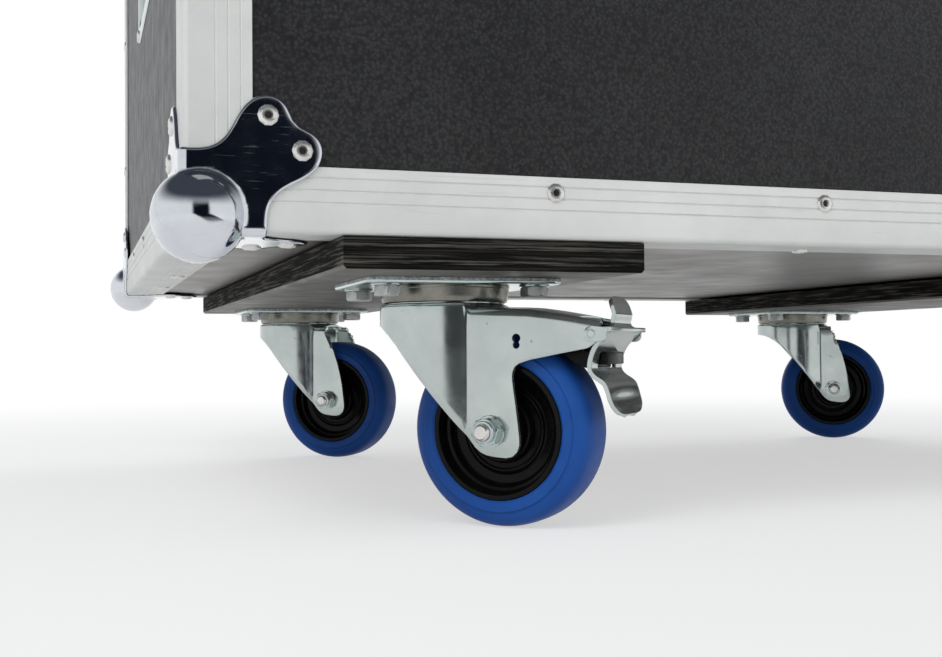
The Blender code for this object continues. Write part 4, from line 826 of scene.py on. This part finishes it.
def fork_shells(braked):
    """The sheet: rows from the cut line up the wall, round the shoulder, to the middle, on both sides."""
    plan, edge, is_cup = fork_plan(braked)
    low = np.column_stack([plan[:, 0], np.interp(plan[:, 0], *np.transpose(RAKE))])
    low[:len(edge)] = edge
    radius = SHOULDER - 2.3 * is_cup
    top = np.interp(plan[:, 0], *np.transpose(ARM_SHOULDER)) * (1 - is_cup) + (CROWN - radius) * is_cup
    inward = side_of(plan)
    inward *= -np.sign(inward[:, 0] * plan[:, 0] * is_cup + inward[:, 1] * plan[:, 1])[:, None]
    inward[-1] = (1.0, 0.0)
    rows = [np.column_stack([low[:, 0] * (1 - t) + plan[:, 0] * t, plan[:, 1], low[:, 1] * (1 - t) + top * t])
            for t in np.linspace(0, 1, 10)]
    for angle in np.radians([15, 30, 45, 60, 75, 90]):
        in_by = radius[:, None] * (1 - math.cos(angle))
        rows.append(np.column_stack([plan + inward * in_by, top + radius * math.sin(angle)]))
    rim = rows[-1][:, :2]
    wall_rows = len(rows)
    spine = np.column_stack([np.maximum(plan[:, 0], 0), np.zeros(len(plan))])
    for t in np.linspace(0.08, 1, 12):
        spot = rim * (1 - t) + spine * t
        step = np.clip((np.linalg.norm(spot, axis=1) - 31.5) / 4.5, 0, 1)
        deck = np.interp(spot[:, 0], *np.transpose(ARM_SHOULDER)) + SHOULDER
        deck = CROWN * (1 - step) + deck * step + 0.9 * t * (2 - t) * step
        height = deck * (1 - is_cup) + CROWN * is_cup
        rows.append(np.column_stack([spot, (top + radius) * (1 - min(1, 6 * t)) + height * min(1, 6 * t)]))
    keep = np.ones((len(rows) - 1, len(plan) - 1), bool)
    keep[wall_rows:] &= plan[:-1, 0] <= (84.0 if braked else 33.5)
    return [grid(np.array(rows) * MM * (1, side, 1), keep) for side in (1, -1)]


# %% The fork pieces
for name, (kingpin, axes, _) in CASTORS.items():
    braked = name.startswith("front")
    fork = piece(f"fork_sheet_{name}", put(fork_shells(braked), kingpin, axes), [zinc], f"castor_{name}",
                 f"fork_{name}", wall=2.5 * MM, bevel=0.35 * MM)
    # the keyhole: two round holes through both cheeks, one above the other, that run together
    for d, z, radius in KEYHOLE if braked else ():
        ring = arc((d, z), radius, 0, 360, 25)
        rod = capped(np.array([np.insert(ring, 1, a, axis=1) for a in (-40.0, 40.0)]) * MM)
        cutter = show("cutter", mesh_of("cutter", put(rod, kingpin, axes)))
        cut = fork.modifiers.new("cut", "BOOLEAN")
        cut.operation, cut.solver, cut.object = "DIFFERENCE", "EXACT", cutter
        settle(fork)
        bpy.data.objects.remove(cutter)

# %% [markdown]
# ## Mounting plate, race and bolts
# A plate 105 by 85 mm is bolted under the board. Its edge was sheared, so the upper half is torn and
# rough and the lower half rolls over smoothly. Under it sits the race, a turned ring that holds the
# balls, a little narrower at its foot. The plate is a stack of rounded rectangles, the race a turned
# profile, and a bolt head is a turned shape whose radius follows a hexagon.

# %% Plate, race and bolt shapes
def rounded_rectangle(half_x, half_y, radius):
    """One closed loop of 41 points, the first repeated: four quarter circles joined by straight sides."""
    loop = np.vstack([arc((cx * (half_x - radius), cy * (half_y - radius)), radius, 90 * k, 90 * k + 90, 10)
                      for k, (cx, cy) in enumerate(((1, 1), (-1, 1), (-1, -1), (1, -1)))])
    return np.vstack([loop, loop[:1]])


def hexagon_head(across_flats, low, high, chamfer=0.9):
    """A hexagon whose corners are turned off at the ends: its radius is the smaller of the two shapes."""
    angle = np.linspace(0, 2 * np.pi, 49)
    flat = across_flats / 2 / np.cos((angle % (np.pi / 3)) - np.pi / 6)
    end = across_flats / 2 * 0.97
    levels = [(0.0, 0.0), (0.0, end), (0.35 * chamfer, end + 0.6 * chamfer), (chamfer, 99.0)]
    levels = [(low + h, limit) for h, limit in levels] + [(high - h, limit) for h, limit in levels[::-1]]
    rows = []
    for height, limit in levels:
        radius = np.minimum(flat, limit)
        rows.append(np.stack([radius * np.cos(angle), radius * np.sin(angle), np.full_like(angle, height)], -1))
    return grid(np.array(rows) * MM)


def spun(degrees):
    """Axes turned about the third one."""
    c, s = math.cos(math.radians(degrees)), math.sin(math.radians(degrees))
    return np.array([[c, s, 0], [-s, c, 0], [0, 0, 1]])


# levels of (half_x, half_y, corner radius, height)
PLATE = [(52.3, 42.3, 8, -0.05), (52.45, 42.45, 8, -0.2), (52.5, 42.5, 8, -1.7), (52.4, 42.4, 8, -2.3),
         (52, 42, 7.6, -2.8), (51.3, 41.3, 7, -3), (46, 36, 5, -3)]
RACE = [(0, -2.9), (34.6, -2.9), (34.95, -3.2), (34.9, -4.2), (34.5, -4.6), (34.1, -8.6), (33.9, -10.4),
        (33.4, -11.4), (32.4, -11.8), (0, -11.8)]
BALL_GAP = [(0, -11.7), (31, -11.7), (31, -12.25), (0, -12.25)]
PLATE_WASHER = [(0, -2.9), (7.7, -2.9), (8, -3.2), (8, -3.8), (7.7, -4), (0, -4)]
rows = [np.insert(rounded_rectangle(*size), 2, height, axis=1) for *size, height in PLATE]
plate = grid(np.array([rows[0] * (0, 0, 1)] + rows + [rows[-1] * (0, 0, 1)]) * MM)
plate["finish"] = np.repeat([1, 2, 2, 1, 1, 1, 1, 1], 40).tolist()
shells = [plate, painted(turned(RACE, 72), 3), turned(BALL_GAP, 48)]
for (x, y), twist in zip(((-40, -30), (-40, 30), (40, -30), (40, 30)), (17, 5, 41, 28)):
    spot = np.array([x, y, 0]) * MM
    shells += put([turned(PLATE_WASHER)], spot)
    shells += put([painted(hexagon_head(12.8, -9.2, -3.9, 0.8), 4)], spot, spun(twist))
for name, (kingpin, _, _) in CASTORS.items():
    piece(f"plate_{name}", put(shells, kingpin), [zinc, glossy_zinc, sheared, race_steel, bolt_steel], "case",
          f"castor_plate_{name}", crease=30)

# %% [markdown]
# ## Wheels and axles
# The wheel is a black nylon hub with a blue elastic tyre moulded round it. The tyre's side steps from
# a thin ring beside the hub up to a shoulder, and then to a slightly round tread. The hub carries fine
# turned rings, a dished web and a boss. An M8 bolt goes through the fork and the hub, with its head on
# one side and a nut on the other. All are profiles turned round the axle, and so is the thread: its
# radius goes up and down along the bolt, which at this size reads as a thread.

# %% Tyre, hub, axle bolt and nut
TYRE_HALF = [(35.9, 16.6), (37, 17.4), (41.2, 17.7), (41.6, 17.5), (42, 16.6), (42.6, 16.5), (43.6, 16.3),
             (46.6, 14.9), (48.4, 13), (49.3, 10.8), (49.8, 7.5), (49.97, 3.6), (50, 0)]
HUB_HALF = [(35.9, 16.2), (35.4, 17), (34.2, 17.3), (33.2, 17.1), (32.6, 16), (32, 12.4), (31.2, 11.2),
            (29.8, 10.6), (29.2, 9.6), (28.6, 7.4), (27.6, 6.6), (23.6, 6), (22.8, 6.4), (22.2, 7.6),
            (21.4, 8), (20.6, 7.8), (20, 6.8), (17.6, 7), (17, 8.4), (16.6, 11.6), (15.8, 12.4),
            (14.8, 12.4), (14, 11.8), (13.4, 15.4), (12.6, 19.4), (11.9, 20.2), (8.2, 20.4), (5.6, 20.2),
            (5.4, 17)]
THREAD = [(4.0 - (0.45 if k % 2 else 0.0), h) for k, h in enumerate(np.arange(26.0, 35.2, 0.6))]
SHANK = [(0, -29), (5, -29), (5, 24.6), (4, 24.8)] + THREAD + [(3.2, 35.8), (0, 35.8)]
WASHER = [(0, 24), (7.9, 24), (8.2, 24.3), (8.2, 25), (7.9, 25.2), (0, 25.2)]
COLLAR = [(0, 30.6), (5.9, 30.6), (5.9, 32.6), (5.5, 33.2), (4.6, 33.4), (4.2, 33), (0, 33)]


def both_sides(half_profile, inner):
    """A closed profile (radius, along the axle) from one side's points, mirrored, with its inner line."""
    left = flipped(reversed(half_profile[:-1] if half_profile[-1][1] == 0 else half_profile))
    return half_profile + left + flipped(inner) + inner[::-1] + half_profile[:1]


tyre = turned(both_sides(TYRE_HALF, [(35.9, 16.0)]), 96)
hub = turned(both_sides(HUB_HALF, []), 96)
nut = put([painted(hexagon_head(13.4, 25.1, 31.0), 2)], (0, 0, 0), spun(12))
bolt = [turned(SHANK, 28), painted(turned(WASHER, 40), 1), painted(hexagon_head(13.4, -31.2, -24.0), 2),
        painted(turned(COLLAR), 1)] + nut
for name, (kingpin, axes, middle) in CASTORS.items():
    wheel_axes = np.array([axes[0], -axes[2], axes[1]])
    piece(f"tyre_ring_{name}", put([tyre], middle, wheel_axes), [rubber], f"wheel_{name}", f"tyre_{name}",
          crease=28)
    piece(f"hub_turned_{name}", put([hub], middle, wheel_axes), [nylon], f"wheel_{name}", f"hub_{name}",
          crease=28)
for name, (kingpin, axes, middle) in CASTORS.items():
    piece(f"axle_bolt_{name}", put(bolt, middle, along_axle(axes)), [rivet_steel, zinc, glossy_zinc],
          f"castor_{name}", f"axle_{name}", crease=30)

# %% [markdown]
# ## Brake pedals
# The pedal is one pressed strip. From the top a narrow tab comes down to a cross bar between the arms,
# then a wide web with a window runs back under the arms, and at the foot it bends out into a paddle for
# the shoe. Its side view is a line, and its width changes along that line, so the strip is a grid of
# line by width. Where the window is, the grid simply has no faces. A black shoe hangs inside it.

# %% Pedal surfaces
PEDAL_AT = np.array([93.5, 0.0, -29.5])
# side view (d, z) from the pin, and half the width there: from the tab's top down to the paddle's end
PEDAL_LINE = [(4, 18.9, 4), (4.3, 18.6, 6.6), (4.8, 18, 8.9), (5.5, 16.8, 10.9), (6.4, 14.8, 12.2),
              (7.3, 12.2, 12.6), (7.9, 9.6, 12.6), (7.2, 6.6, 12.5), (7.2, 4.6, 13.2), (8, 3.4, 17),
              (8.6, 2.6, 22.4), (8.7, 1.2, 23), (7.2, -0.6, 22.9), (4.4, -3.2, 22.8), (2, -5.8, 22.7),
              (0.2, -8.9, 22.6), (-1, -12.2, 22.5), (-1.6, -15.6, 22.5), (-1.2, -18, 22.5),
              (0.6, -20.2, 22.5), (3.4, -22, 22.6), (6, -24.2, 22.7), (7.6, -28, 22.7), (8.8, -32, 22.6),
              (9.9, -35.2, 21.2), (10.6, -37.6, 18.2), (11, -38.8, 14.6), (11.2, -39.4, 10.5),
              (11.3, -39.6, 6.5)]
WINDOW_LOW, WINDOW_HIGH, WINDOW_HALF = -16.8, -8.9, 13.2


def eased_plate(loop, inner, low, high, soft):
    """A plate between two places along the second axis, from its closed outline and the smaller inner
    one that its edges are eased to."""
    middle = loop * 0 + loop[:-1].mean(0)
    between = inner * 0.3 + loop * 0.7
    levels = [(0.0, middle), (0.0, inner), (0.3 * soft, between), (soft, loop)]
    rows = [np.insert(line, 1, low + h, axis=1) for h, line in levels]
    rows += [np.insert(line, 1, high - h, axis=1) for h, line in levels[::-1]]
    return grid(np.array(rows) * MM)


def slab(outline, low, high, soft=0.5):
    """A plate of the pedal: its outline (d, z) is from the pin, and shrinks towards its middle."""
    outline = outline + PEDAL_AT[[0, 2]]
    loop = np.vstack([outline, outline[:1]])
    middle = outline.mean(0)
    inner = middle + (loop - middle) * (1 - soft / np.abs(outline - middle).max())
    return eased_plate(loop, inner, low, high, soft)


def hull_of_arcs(arcs):
    """An outline from pieces of circle given in order: (centre d, centre z, radius, start, end)."""
    return np.vstack([arc((d, z), r, start, end, 9) for d, z, r, start, end in arcs])


def rounded_box(left, right, low, high, radius):
    """An outline of four quarter circles, about the centres given."""
    return hull_of_arcs([(left, low, radius, 180, 270), (right, low, radius, 270, 360),
                         (right, high, radius, 0, 90), (left, high, radius, 90, 180)])


line = smooth_line(PEDAL_LINE, 96)
share = np.linspace(-1, 1, 45)
swell = 0.55 * (1 - share**2)[None, :] * np.exp(-((line[:, 1:2] + 33.0) / 5.0) ** 2)
rows = np.stack([line[:, :1] - swell, line[:, 2:3] * share, line[:, 1:2] + 0 * swell], -1)
d, a, z = np.moveaxis((rows[:-1, :-1] + rows[1:, 1:]) / 2, -1, 0)
window = (z > WINDOW_LOW) & (z < WINDOW_HIGH) & (np.abs(a) < WINDOW_HALF) & (d < 3.0)
pedal = grid((rows + PEDAL_AT) * MM, ~window)
EAR = hull_of_arcs([(0, 0, 4, 90, 268), (5, -0.6, 3.2, -80, 10), (7.6, 2, 1.2, 0, 100)])
SHOE = smooth_line([(1.6, -8.6), (-4, -8.6), (-10, -8.4), (-15.6, -7), (-19.6, -4.8), (-22.4, -2.2),
                    (-23.9, -2.6), (-24, -4.8), (-21.4, -8.8), (-17.3, -12.2), (-13.4, -14.8), (-9.4, -16.5),
                    (-6, -17.1), (-3.6, -16.4), (-3.3, -15.2), (-1, -14.9), (1.6, -14.7)], 60)
PIN = [(0, -26.9), (1.8, -26.9), (2.1, -26.6), (2.1, 26.6), (1.8, 26.9), (0, 26.9)]
bars = [slab(EAR, 24.3, 26.5), slab(EAR, -26.5, -24.3),
        slab(rounded_box(7, 9.7, 1.7, 2.7, 0.7), -26.4, 26.4, 0.35)]
bars += put([turned(PIN, 24)], PEDAL_AT * MM, along_axle(np.eye(3)))
shoe = [slab(SHOE, -12.0, 12.0, 0.8), slab(rounded_box(-0.4, 2.4, -14.2, -9.6, 0.8), -12.4, 12.4, 0.6)]
for name in ("front_left", "front_right"):
    kingpin, axes, _ = CASTORS[name]
    piece(f"pedal_sheet_{name}", put([pedal], kingpin, axes), [zinc], f"pedal_{name}", f"brake_pedal_{name}",
          wall=2.1 * MM, bevel=0.4 * MM)
    piece(f"pedal_bar_{name}", put(bars, kingpin, axes), [zinc], f"pedal_{name}")
    piece(f"brake_shoe_{name}", put(shoe, kingpin, axes), [nylon], f"pedal_{name}")

# %% [markdown]
# ## Latch dishes
# Each butterfly latch sits in a dish pressed from sheet: a flat lip round a pocket with sloping sides
# and soft corners. The dish is a stack of rounded rectangles from the lip's edge in to the middle of the
# floor. A latch has to part at the seam when the lid opens, so the dish is cut there in two.

# %% Dish surface
DISH_WALL, DISH_SOFT, LIP_WIDTH = 1.1 * MM, 0.25 * MM, 10.0


def dish_sheet(half_x, low, high, depth, floor_bead=True):
    """A shell of loops (x, depth, z): lip, rolled edge, sloping wall, soft foot, floor to its middle."""
    middle, half_z, lip = (low + high) / 2, (high - low) / 2, LIP_WIDTH
    levels = [(0, 0, 10), (0.35, -0.45, 10), (1.1, -0.75, 9.6), (lip - 2.2, -0.75, 9), (lip - 1.1, -0.45, 8.6),
              (lip - 0.4, 0.3, 8.4), (lip + 0.3, 2, 8), (lip + 1.1, depth - 2.4, 7.2),
              (lip + 1.7, depth - 0.9, 6.6), (lip + 2.9, depth - 0.15, 5.6), (lip + 4.2, depth, 4.8)]
    if floor_bead:
        levels += [(lip + 5.2, depth, 4.4), (lip + 6.2, depth - 0.7, 4), (lip + 7.4, depth - 0.7, 3.6),
                   (lip + 8.4, depth, 3.2)]
    rows = []
    for inset, in_by, radius in levels:
        loop = rounded_rectangle(half_x - inset, half_z - inset, radius) + (0, middle)
        rows.append(np.insert(loop, 1, in_by, axis=1))
    last = rows[-1]
    rows += [(last - (0, 0, middle)) * (share, 1, share) + (0, 0, middle) for share in (0.75, 0.5, 0.25, 0.0)]
    return grid(np.array(rows) * MM)


def face_out(sheet, outward):
    """Turn an open sheet over if it faces away from outward, so that its wall grows inwards."""
    if sum(p.normal.dot(outward) * p.area for p in sheet.data.polygons) < 0:
        sheet.data.flip_normals()


latch_dish = dish_sheet(56.0, -70.0, 38.0, 9.5)
for name, x in (("left", -LATCH_AT), ("right", LATCH_AT)):
    for half_name, above, body in (("dish", False, "case"), ("catch", True, "lid")):
        sheet = piece(f"latch_{half_name}_sheet_{name}", put([latch_dish], (x, -HALF_DEPTH - CLEAR, SEAM)),
                      [zinc], body, f"latch_{half_name}_{name}")
        face_out(sheet, Vector((0, -1, 0)))
        shape = bmesh.new()
        shape.from_mesh(sheet.data)
        bmesh.ops.bisect_plane(shape, geom=[*shape.verts, *shape.edges, *shape.faces], plane_no=(0, 0, 1),
                               plane_co=(0, 0, SEAM + (2 * CLEAR if above else 0.0)), dist=1e-7,
                               clear_inner=above, clear_outer=not above)
        shape.to_mesh(sheet.data)
        shape.free()
        harden(sheet, DISH_WALL, DISH_SOFT)

# %% [markdown]
# ## Rotor, wing and hook
# A key-like wing folds flat into the dish. Lifted and turned, it turns a round rotor behind it, and an
# eccentric there draws the hook down over the keeper in the lid. The wing is a pressed plate with a
# raised bead, the rotor a turned disc with two ears, and the hook a bent strap.

# %% Rotor, wing, hook and keeper
def plate_between(outline, low, high, soft=0.4):
    """A plate from a closed outline (x, z), from depth low to depth high, with eased edges."""
    loop = np.vstack([outline, outline[:1]])
    area = np.sum(outline[:, 0] * np.roll(outline[:, 1], -1) - np.roll(outline[:, 0], -1) * outline[:, 1])
    return eased_plate(loop, loop + side_of(loop) * soft * np.sign(area), low, high, soft)


def swept(line, half_x, thickness, count=60):
    """A bent strap: its side line (depth, z) with a thickness, across from -half_x to half_x."""
    line = smooth_line(line, count)
    across = np.linspace(-half_x, half_x, 13)
    rows = np.stack(np.broadcast_arrays(across[None, :], line[:, :1], line[:, 1:]), -1)
    offset = np.insert(side_of(line), 0, 0.0, axis=1)[:, None, :] * thickness / 2
    return capped(np.concatenate([rows - offset, (rows + offset)[:, ::-1], (rows - offset)[:, :1]], 1) * MM)


def ear_pair(arcs, thick, soft, apart, axes, along=0.0):
    """Two equal ears across a pin: their middles stand apart from it, and axes lays their outline."""
    ear = plate_between(hull_of_arcs(arcs), 0, thick, soft)
    across = np.asarray(axes, float)[1]
    return [shell for side in (-1, 1) for shell in
            put([ear], (across * (side * apart - thick / 2) + (0, along, 0)) * MM, axes)]


HALF_WING = [(7.4, -1.9), (9, -3), (14, -3.6), (18.4, -4.2), (20.6, -6.6), (20.9, -11), (20, -15.2),
             (17.4, -17.3), (12.6, -16.9), (6.4, -15.1)]
WING = smooth_line([(-7.4, -1.9)] + HALF_WING + [(0, -14.4)] + [(-x, z) for x, z in HALF_WING[::-1]], 120)[:-1]
BEAD = smooth_line([(-15.5, -7), (-9, -6.2), (0, -6), (9, -6.2), (15.5, -7), (15, -12), (8, -11.2), (0, -10.4),
                    (-8, -11.2), (-15, -12), (-15.5, -7)], 60)[:-1]
WING_PIN = [(0, -9.3), (0.9, -9.3), (0.9, -7.5), (1.75, -7.3), (1.75, 7.3), (0.9, 7.5), (0.9, 9.3), (0, 9.3)]
ROTOR = [(0, 8.9), (9.4, 8.9), (9.9, 8.5), (10, 5.2), (9.6, 4.5), (8.8, 4.2), (8, 4.3), (7.4, 4.7), (6.2, 4.7),
         (5.6, 4.3), (4, 4.2), (0, 4.2)]
HOOK_LINE = [(0, -0.6), (0, 1.2), (-1, 4.2), (-2.5, 7.2), (-3.3, 10), (-3.3, 16), (-3.2, 19.4), (-2.1, 21),
             (-0.6, 21.3), (0.4, 21.3)]
HOOK_LEAN = math.radians(35)
KEEPER_LINE = [(10.2, 10.6), (6, 10.6), (5.2, 11.4), (5.1, 13), (5.2, 14.4), (6, 15.2), (10.2, 15.2)]
ROTOR_DOWN, HOOK_DOWN, HOOK_IN, RIVET_SINK = 0.028, 0.004, 0.0066, 0.00095
along_x = np.array([Y, Z, X])
rotor = put([turned(ROTOR, 48)], (0, 0, 0), [X, Z, Y])
rotor += ear_pair([(0, 0, 1.9, 0, 180), (0, 3.4, 1.9, 180, 360)], 1.5, 0.3, 8.75, [Z, X, Y], along=2.1)
wing = [plate_between(WING, -0.9, 0.9, 0.5)] + put([turned(WING_PIN, 20)], (0, 0, 0), along_x)
wing.append(plate_between(BEAD, -1.25, -0.5, 0.5))
c, s = math.cos(HOOK_LEAN), math.sin(HOOK_LEAN)
lean = np.array([X, Y * c + Z * s, Z * c - Y * s])
hook = put(swept(HOOK_LINE, 12.0, 1.6), (0, 0, 0), lean)
hook += put([turned([(0, -14.9), (1.4, -14.9), (1.4, 14.9), (0, 14.9)], 20)], (0, 0, 0), along_x)
bracket = ear_pair([(0, 0, 2.7, 90, 270), (3.6, -0.2, 2.5, -90, 0), (3.6, 0.2, 2.5, 0, 90)], 2.4, 0.4,
                   13.7, [Y, X, Z])
for name, x in (("left", -LATCH_AT), ("right", LATCH_AT)):
    rotor_at = np.array([x, -HALF_DEPTH, SEAM - ROTOR_DOWN])
    piece(f"latch_rotor_disc_{name}", put(rotor, rotor_at), [bolt_steel], f"latch_turn_{name}",
          f"latch_rotor_{name}")
    piece(f"latch_wing_plate_{name}", put(wing, rotor_at + Y * 2.1 * MM), [zinc], f"latch_wing_{name}",
          f"latch_wing_{name}")
    hook_at = np.array([x, -HALF_DEPTH + HOOK_IN, SEAM - HOOK_DOWN])
    piece(f"latch_hook_strap_{name}", put(hook, hook_at), [zinc], f"latch_hook_{name}", f"latch_hook_{name}",
          bevel=0.25 * MM)
    piece(f"latch_bracket_{name}", put(bracket, hook_at), [bolt_steel], "case")
    piece(f"latch_keeper_{name}", put(swept(KEEPER_LINE, 11.9, 1.1, 40), (x, -HALF_DEPTH, SEAM)), [zinc],
          "lid", bevel=0.2 * MM)
    for dx in (-51.0, 51.0):
        for dz, store in ((-60.0, body_rivets), (-14.0, body_rivets), (29.0, lid_rivets)):
            add_rivet(store, (x + dx * MM, -HALF_DEPTH - RIVET_SINK, SEAM + dz * MM), -Y)

# %% [markdown]
# ## Handles
# Each end has a sprung bail handle in a deep dish. The bail is a steel rod bent in a U: its path goes
# down, round a bend, across and up again, and a circle is carried along it. The grip is a moulded sleeve
# with shallow finger rings, again one profile turned round the rod.

# %% Handle dish, bail and grip
def tube(path, radius, sides=16):
    """Carry a circle along a path: at each point it stands square to the path, closed at both ends."""
    way = np.gradient(path, axis=0)
    way /= np.linalg.norm(way, axis=1, keepdims=True)
    first = np.cross(way, X)
    first /= np.linalg.norm(first, axis=1, keepdims=True)
    second = np.cross(way, first)
    angle = np.linspace(0, 2 * np.pi, sides + 1)[None, :, None]
    rows = path[:, None] + radius * (np.cos(angle) * first[:, None] + np.sin(angle) * second[:, None])
    ends = [np.repeat(path[k][None, None], sides + 1, 1) for k in (0, -1)]
    return grid(np.concatenate([ends[0], rows, ends[1]]) * MM)


DROP, HALF_BAIL, BEND = 56.0, 46.0, 9.0
PIVOT_OUT, PANEL_IN, RIVET_OUT = 0.0455, 0.0018, 0.00105
rod_end = DROP + 4 - BEND
down = [(0, -HALF_BAIL, 4 - t) for t in np.linspace(0, rod_end, 12)]
round_bend = [(0, -HALF_BAIL + BEND * (1 - math.cos(t)), -DROP + BEND * (1 - math.sin(t)))
              for t in np.radians(np.linspace(8, 90, 10))]
flat_run = [(0, y, -DROP) for y in np.linspace(-HALF_BAIL + BEND + 2, HALF_BAIL - BEND - 2, 12)]
bend_up = [(0, HALF_BAIL - BEND * (1 - math.sin(t)), -DROP + BEND * (1 - math.cos(t)))
           for t in np.radians(np.linspace(0, 82, 10))]
up = [(0, HALF_BAIL, BEND - DROP + t) for t in np.linspace(0, rod_end, 12)]
bail = [tube(np.array(down + round_bend + flat_run + bend_up + up), 4.0)]
for way in (1, -1):
    bail += put([turned([(0, 0), (2.4, 0), (2.4, 4.2), (0, 4.2)], 20)], way * Y * PIVOT_OUT, axes_from(way * Y))
rings = np.linspace(-34.5, 34.5, 139)
sleeve = 7.0 - 0.45 * (np.abs(np.sin(rings * np.pi / 8.6)) < 0.28)
sleeve *= np.clip((36.2 - np.abs(rings)) / 1.7, 0, 1) ** 0.4
grip = turned([(0, -34.9), *zip(sleeve, rings), (0, 34.9)])
bail += put([painted(grip, 1)], -Z * DROP * MM, axes_from(Y))
LUG = [(0, 0, 4.3, 90, 270), (9, -1.2, 4.3, -90, 0), (9, 1.2, 4.3, 0, 90)]
handle_dish = dish_sheet(71.0, -52.0, 52.0, 18.3, False)
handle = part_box("handle_dish_left")
middle_z = (handle[0].z + handle[1].z) / 2
for name, side in (("left", -1), ("right", 1)):
    pivot = np.array(joint[f"handle_swing_{name}"]["pos_m"], float)
    face_x = side * (HALF_WIDTH - PANEL_IN + CLEAR)
    dish = put([handle_dish], (face_x, 0, middle_z), [-side * Y, -side * X, Z])
    sheet = piece(f"handle_dish_sheet_{name}", dish, [zinc], "case", f"handle_dish_{name}")
    face_out(sheet, Vector((side, 0, 0)))
    harden(sheet, DISH_WALL, DISH_SOFT)
    piece(f"handle_bail_loop_{name}", put(bail, pivot), [coated, soft_black], f"handle_{name}",
          f"handle_bail_{name}")
    lugs = put(ear_pair(LUG, 3.4, 0.5, 52.1, [-side * X, Y, Z]), pivot)
    piece(f"handle_lugs_{name}", lugs, [bolt_steel], "case")
    for y in (-65.5, 65.5):
        for z in (-46.0, 46.0):
            spot = (side * (HALF_WIDTH - PANEL_IN + RIVET_OUT), y * MM, middle_z + z * MM)
            add_rivet(body_rivets, spot, side * X)

# %% [markdown]
# ## Hinge and seam braces
# At the back one long hinge carries the lid. Its solids already have the right shape, knuckle by
# knuckle, so they only get their finish, and countersunk screws hold the leaves. At the seam, small
# braces bent round the corners stiffen the rims: each is a strap that follows the corner, with two rivets
# on each leg.

# %% Hinge screws and braces
screw = turned([(0, 0), (3.9, 0), (3.9, 0.35), (3.5, 0.62), (1.5, 0.78), (1.3, 0.3), (0, 0.25)], 16)
# the floor of the recess takes the second finish, a painted shade
screw["finish"] = [0] * 80 + [1] * 16
hinge_z = joint["lid_hinge"]["pos_m"][2]
SCREWS_HALF, LEAF_OUT, SCREW_LINE = 0.325, 0.0023, 0.0175
for body, way, name in (("case", -1, "hinge_screws_body"), ("lid", 1, "hinge_screws_lid")):
    row = [shell for x in np.linspace(-SCREWS_HALF, SCREWS_HALF, 14)
           for shell in put([screw], (x, HALF_DEPTH + LEAF_OUT, hinge_z + way * SCREW_LINE), axes_from(Y))]
    piece(name, row, [bolt_steel, painted_hole_shade], body, crease=40)

BRACE_LEG, BRACE_BEND, BRACE_GAP, BRACE_THICK, BRACE_END = 42.0, 3.6, 0.05, 1.5, 5.0


def brace(low_z, high_z):
    """A strap round a vertical corner: two straight legs and a quarter circle, with rounded ends."""
    leg = np.linspace(BRACE_LEG, BRACE_BEND + 1, 14)
    line = np.vstack([np.column_stack([leg * 0, leg]), arc((BRACE_BEND, BRACE_BEND), BRACE_BEND, 180, 270, 9),
                      np.column_stack([leg, leg * 0])[::-1]])
    run = lengths(line)
    short = np.clip(BRACE_END - np.minimum(run, run[-1] - run), 0, BRACE_END)
    reach = (high_z - low_z) / 2 - BRACE_END + np.sqrt(np.clip(BRACE_END**2 - short**2, 0, BRACE_END**2))
    away = side_of(line)
    away *= -np.sign(away[0, 0])
    out = np.array([BRACE_GAP] * 2 + [BRACE_GAP + BRACE_THICK] * 2 + [BRACE_GAP])
    heights = (low_z + high_z) / 2 + np.array([-1, 1, 1, -1, -1]) * reach[:, None]
    return capped(np.stack([line[:, k:k + 1] + away[:, k:k + 1] * out for k in (0, 1)] + [heights], -1) * MM)


for body, low_z, high_z, store, name in (("case", -24.5, -2.5, body_rivets, "braces_body"),
                                         ("lid", 2.5, 24.5, lid_rivets, "braces_lid")):
    shells = []
    z = SEAM + (low_z + high_z) / 2 * MM
    head = (BRACE_GAP + BRACE_THICK) * MM
    for sx in (-1, 1):
        for sy in (-1, 1):
            corner = (sx * HALF_WIDTH, sy * HALF_DEPTH, SEAM)
            shells += put(brace(low_z, high_z), corner, np.diag([-sx, -sy, 1.0]))
            for reach in (0.014, 0.033):
                add_rivet(store, (sx * (HALF_WIDTH - reach), sy * (HALF_DEPTH + head), z), sy * Y)
                add_rivet(store, (sx * (HALF_WIDTH + head), sy * (HALF_DEPTH - reach), z), sx * X)
    piece(name, shells, [zinc], body, bevel=0.4 * MM)

# %% All the rivets
piece("rivets_body", body_rivets, [rivet_steel, painted_hole_shade], "case", crease=50)
piece("rivets_lid", lid_rivets, [rivet_steel, painted_hole_shade], "lid", crease=50)
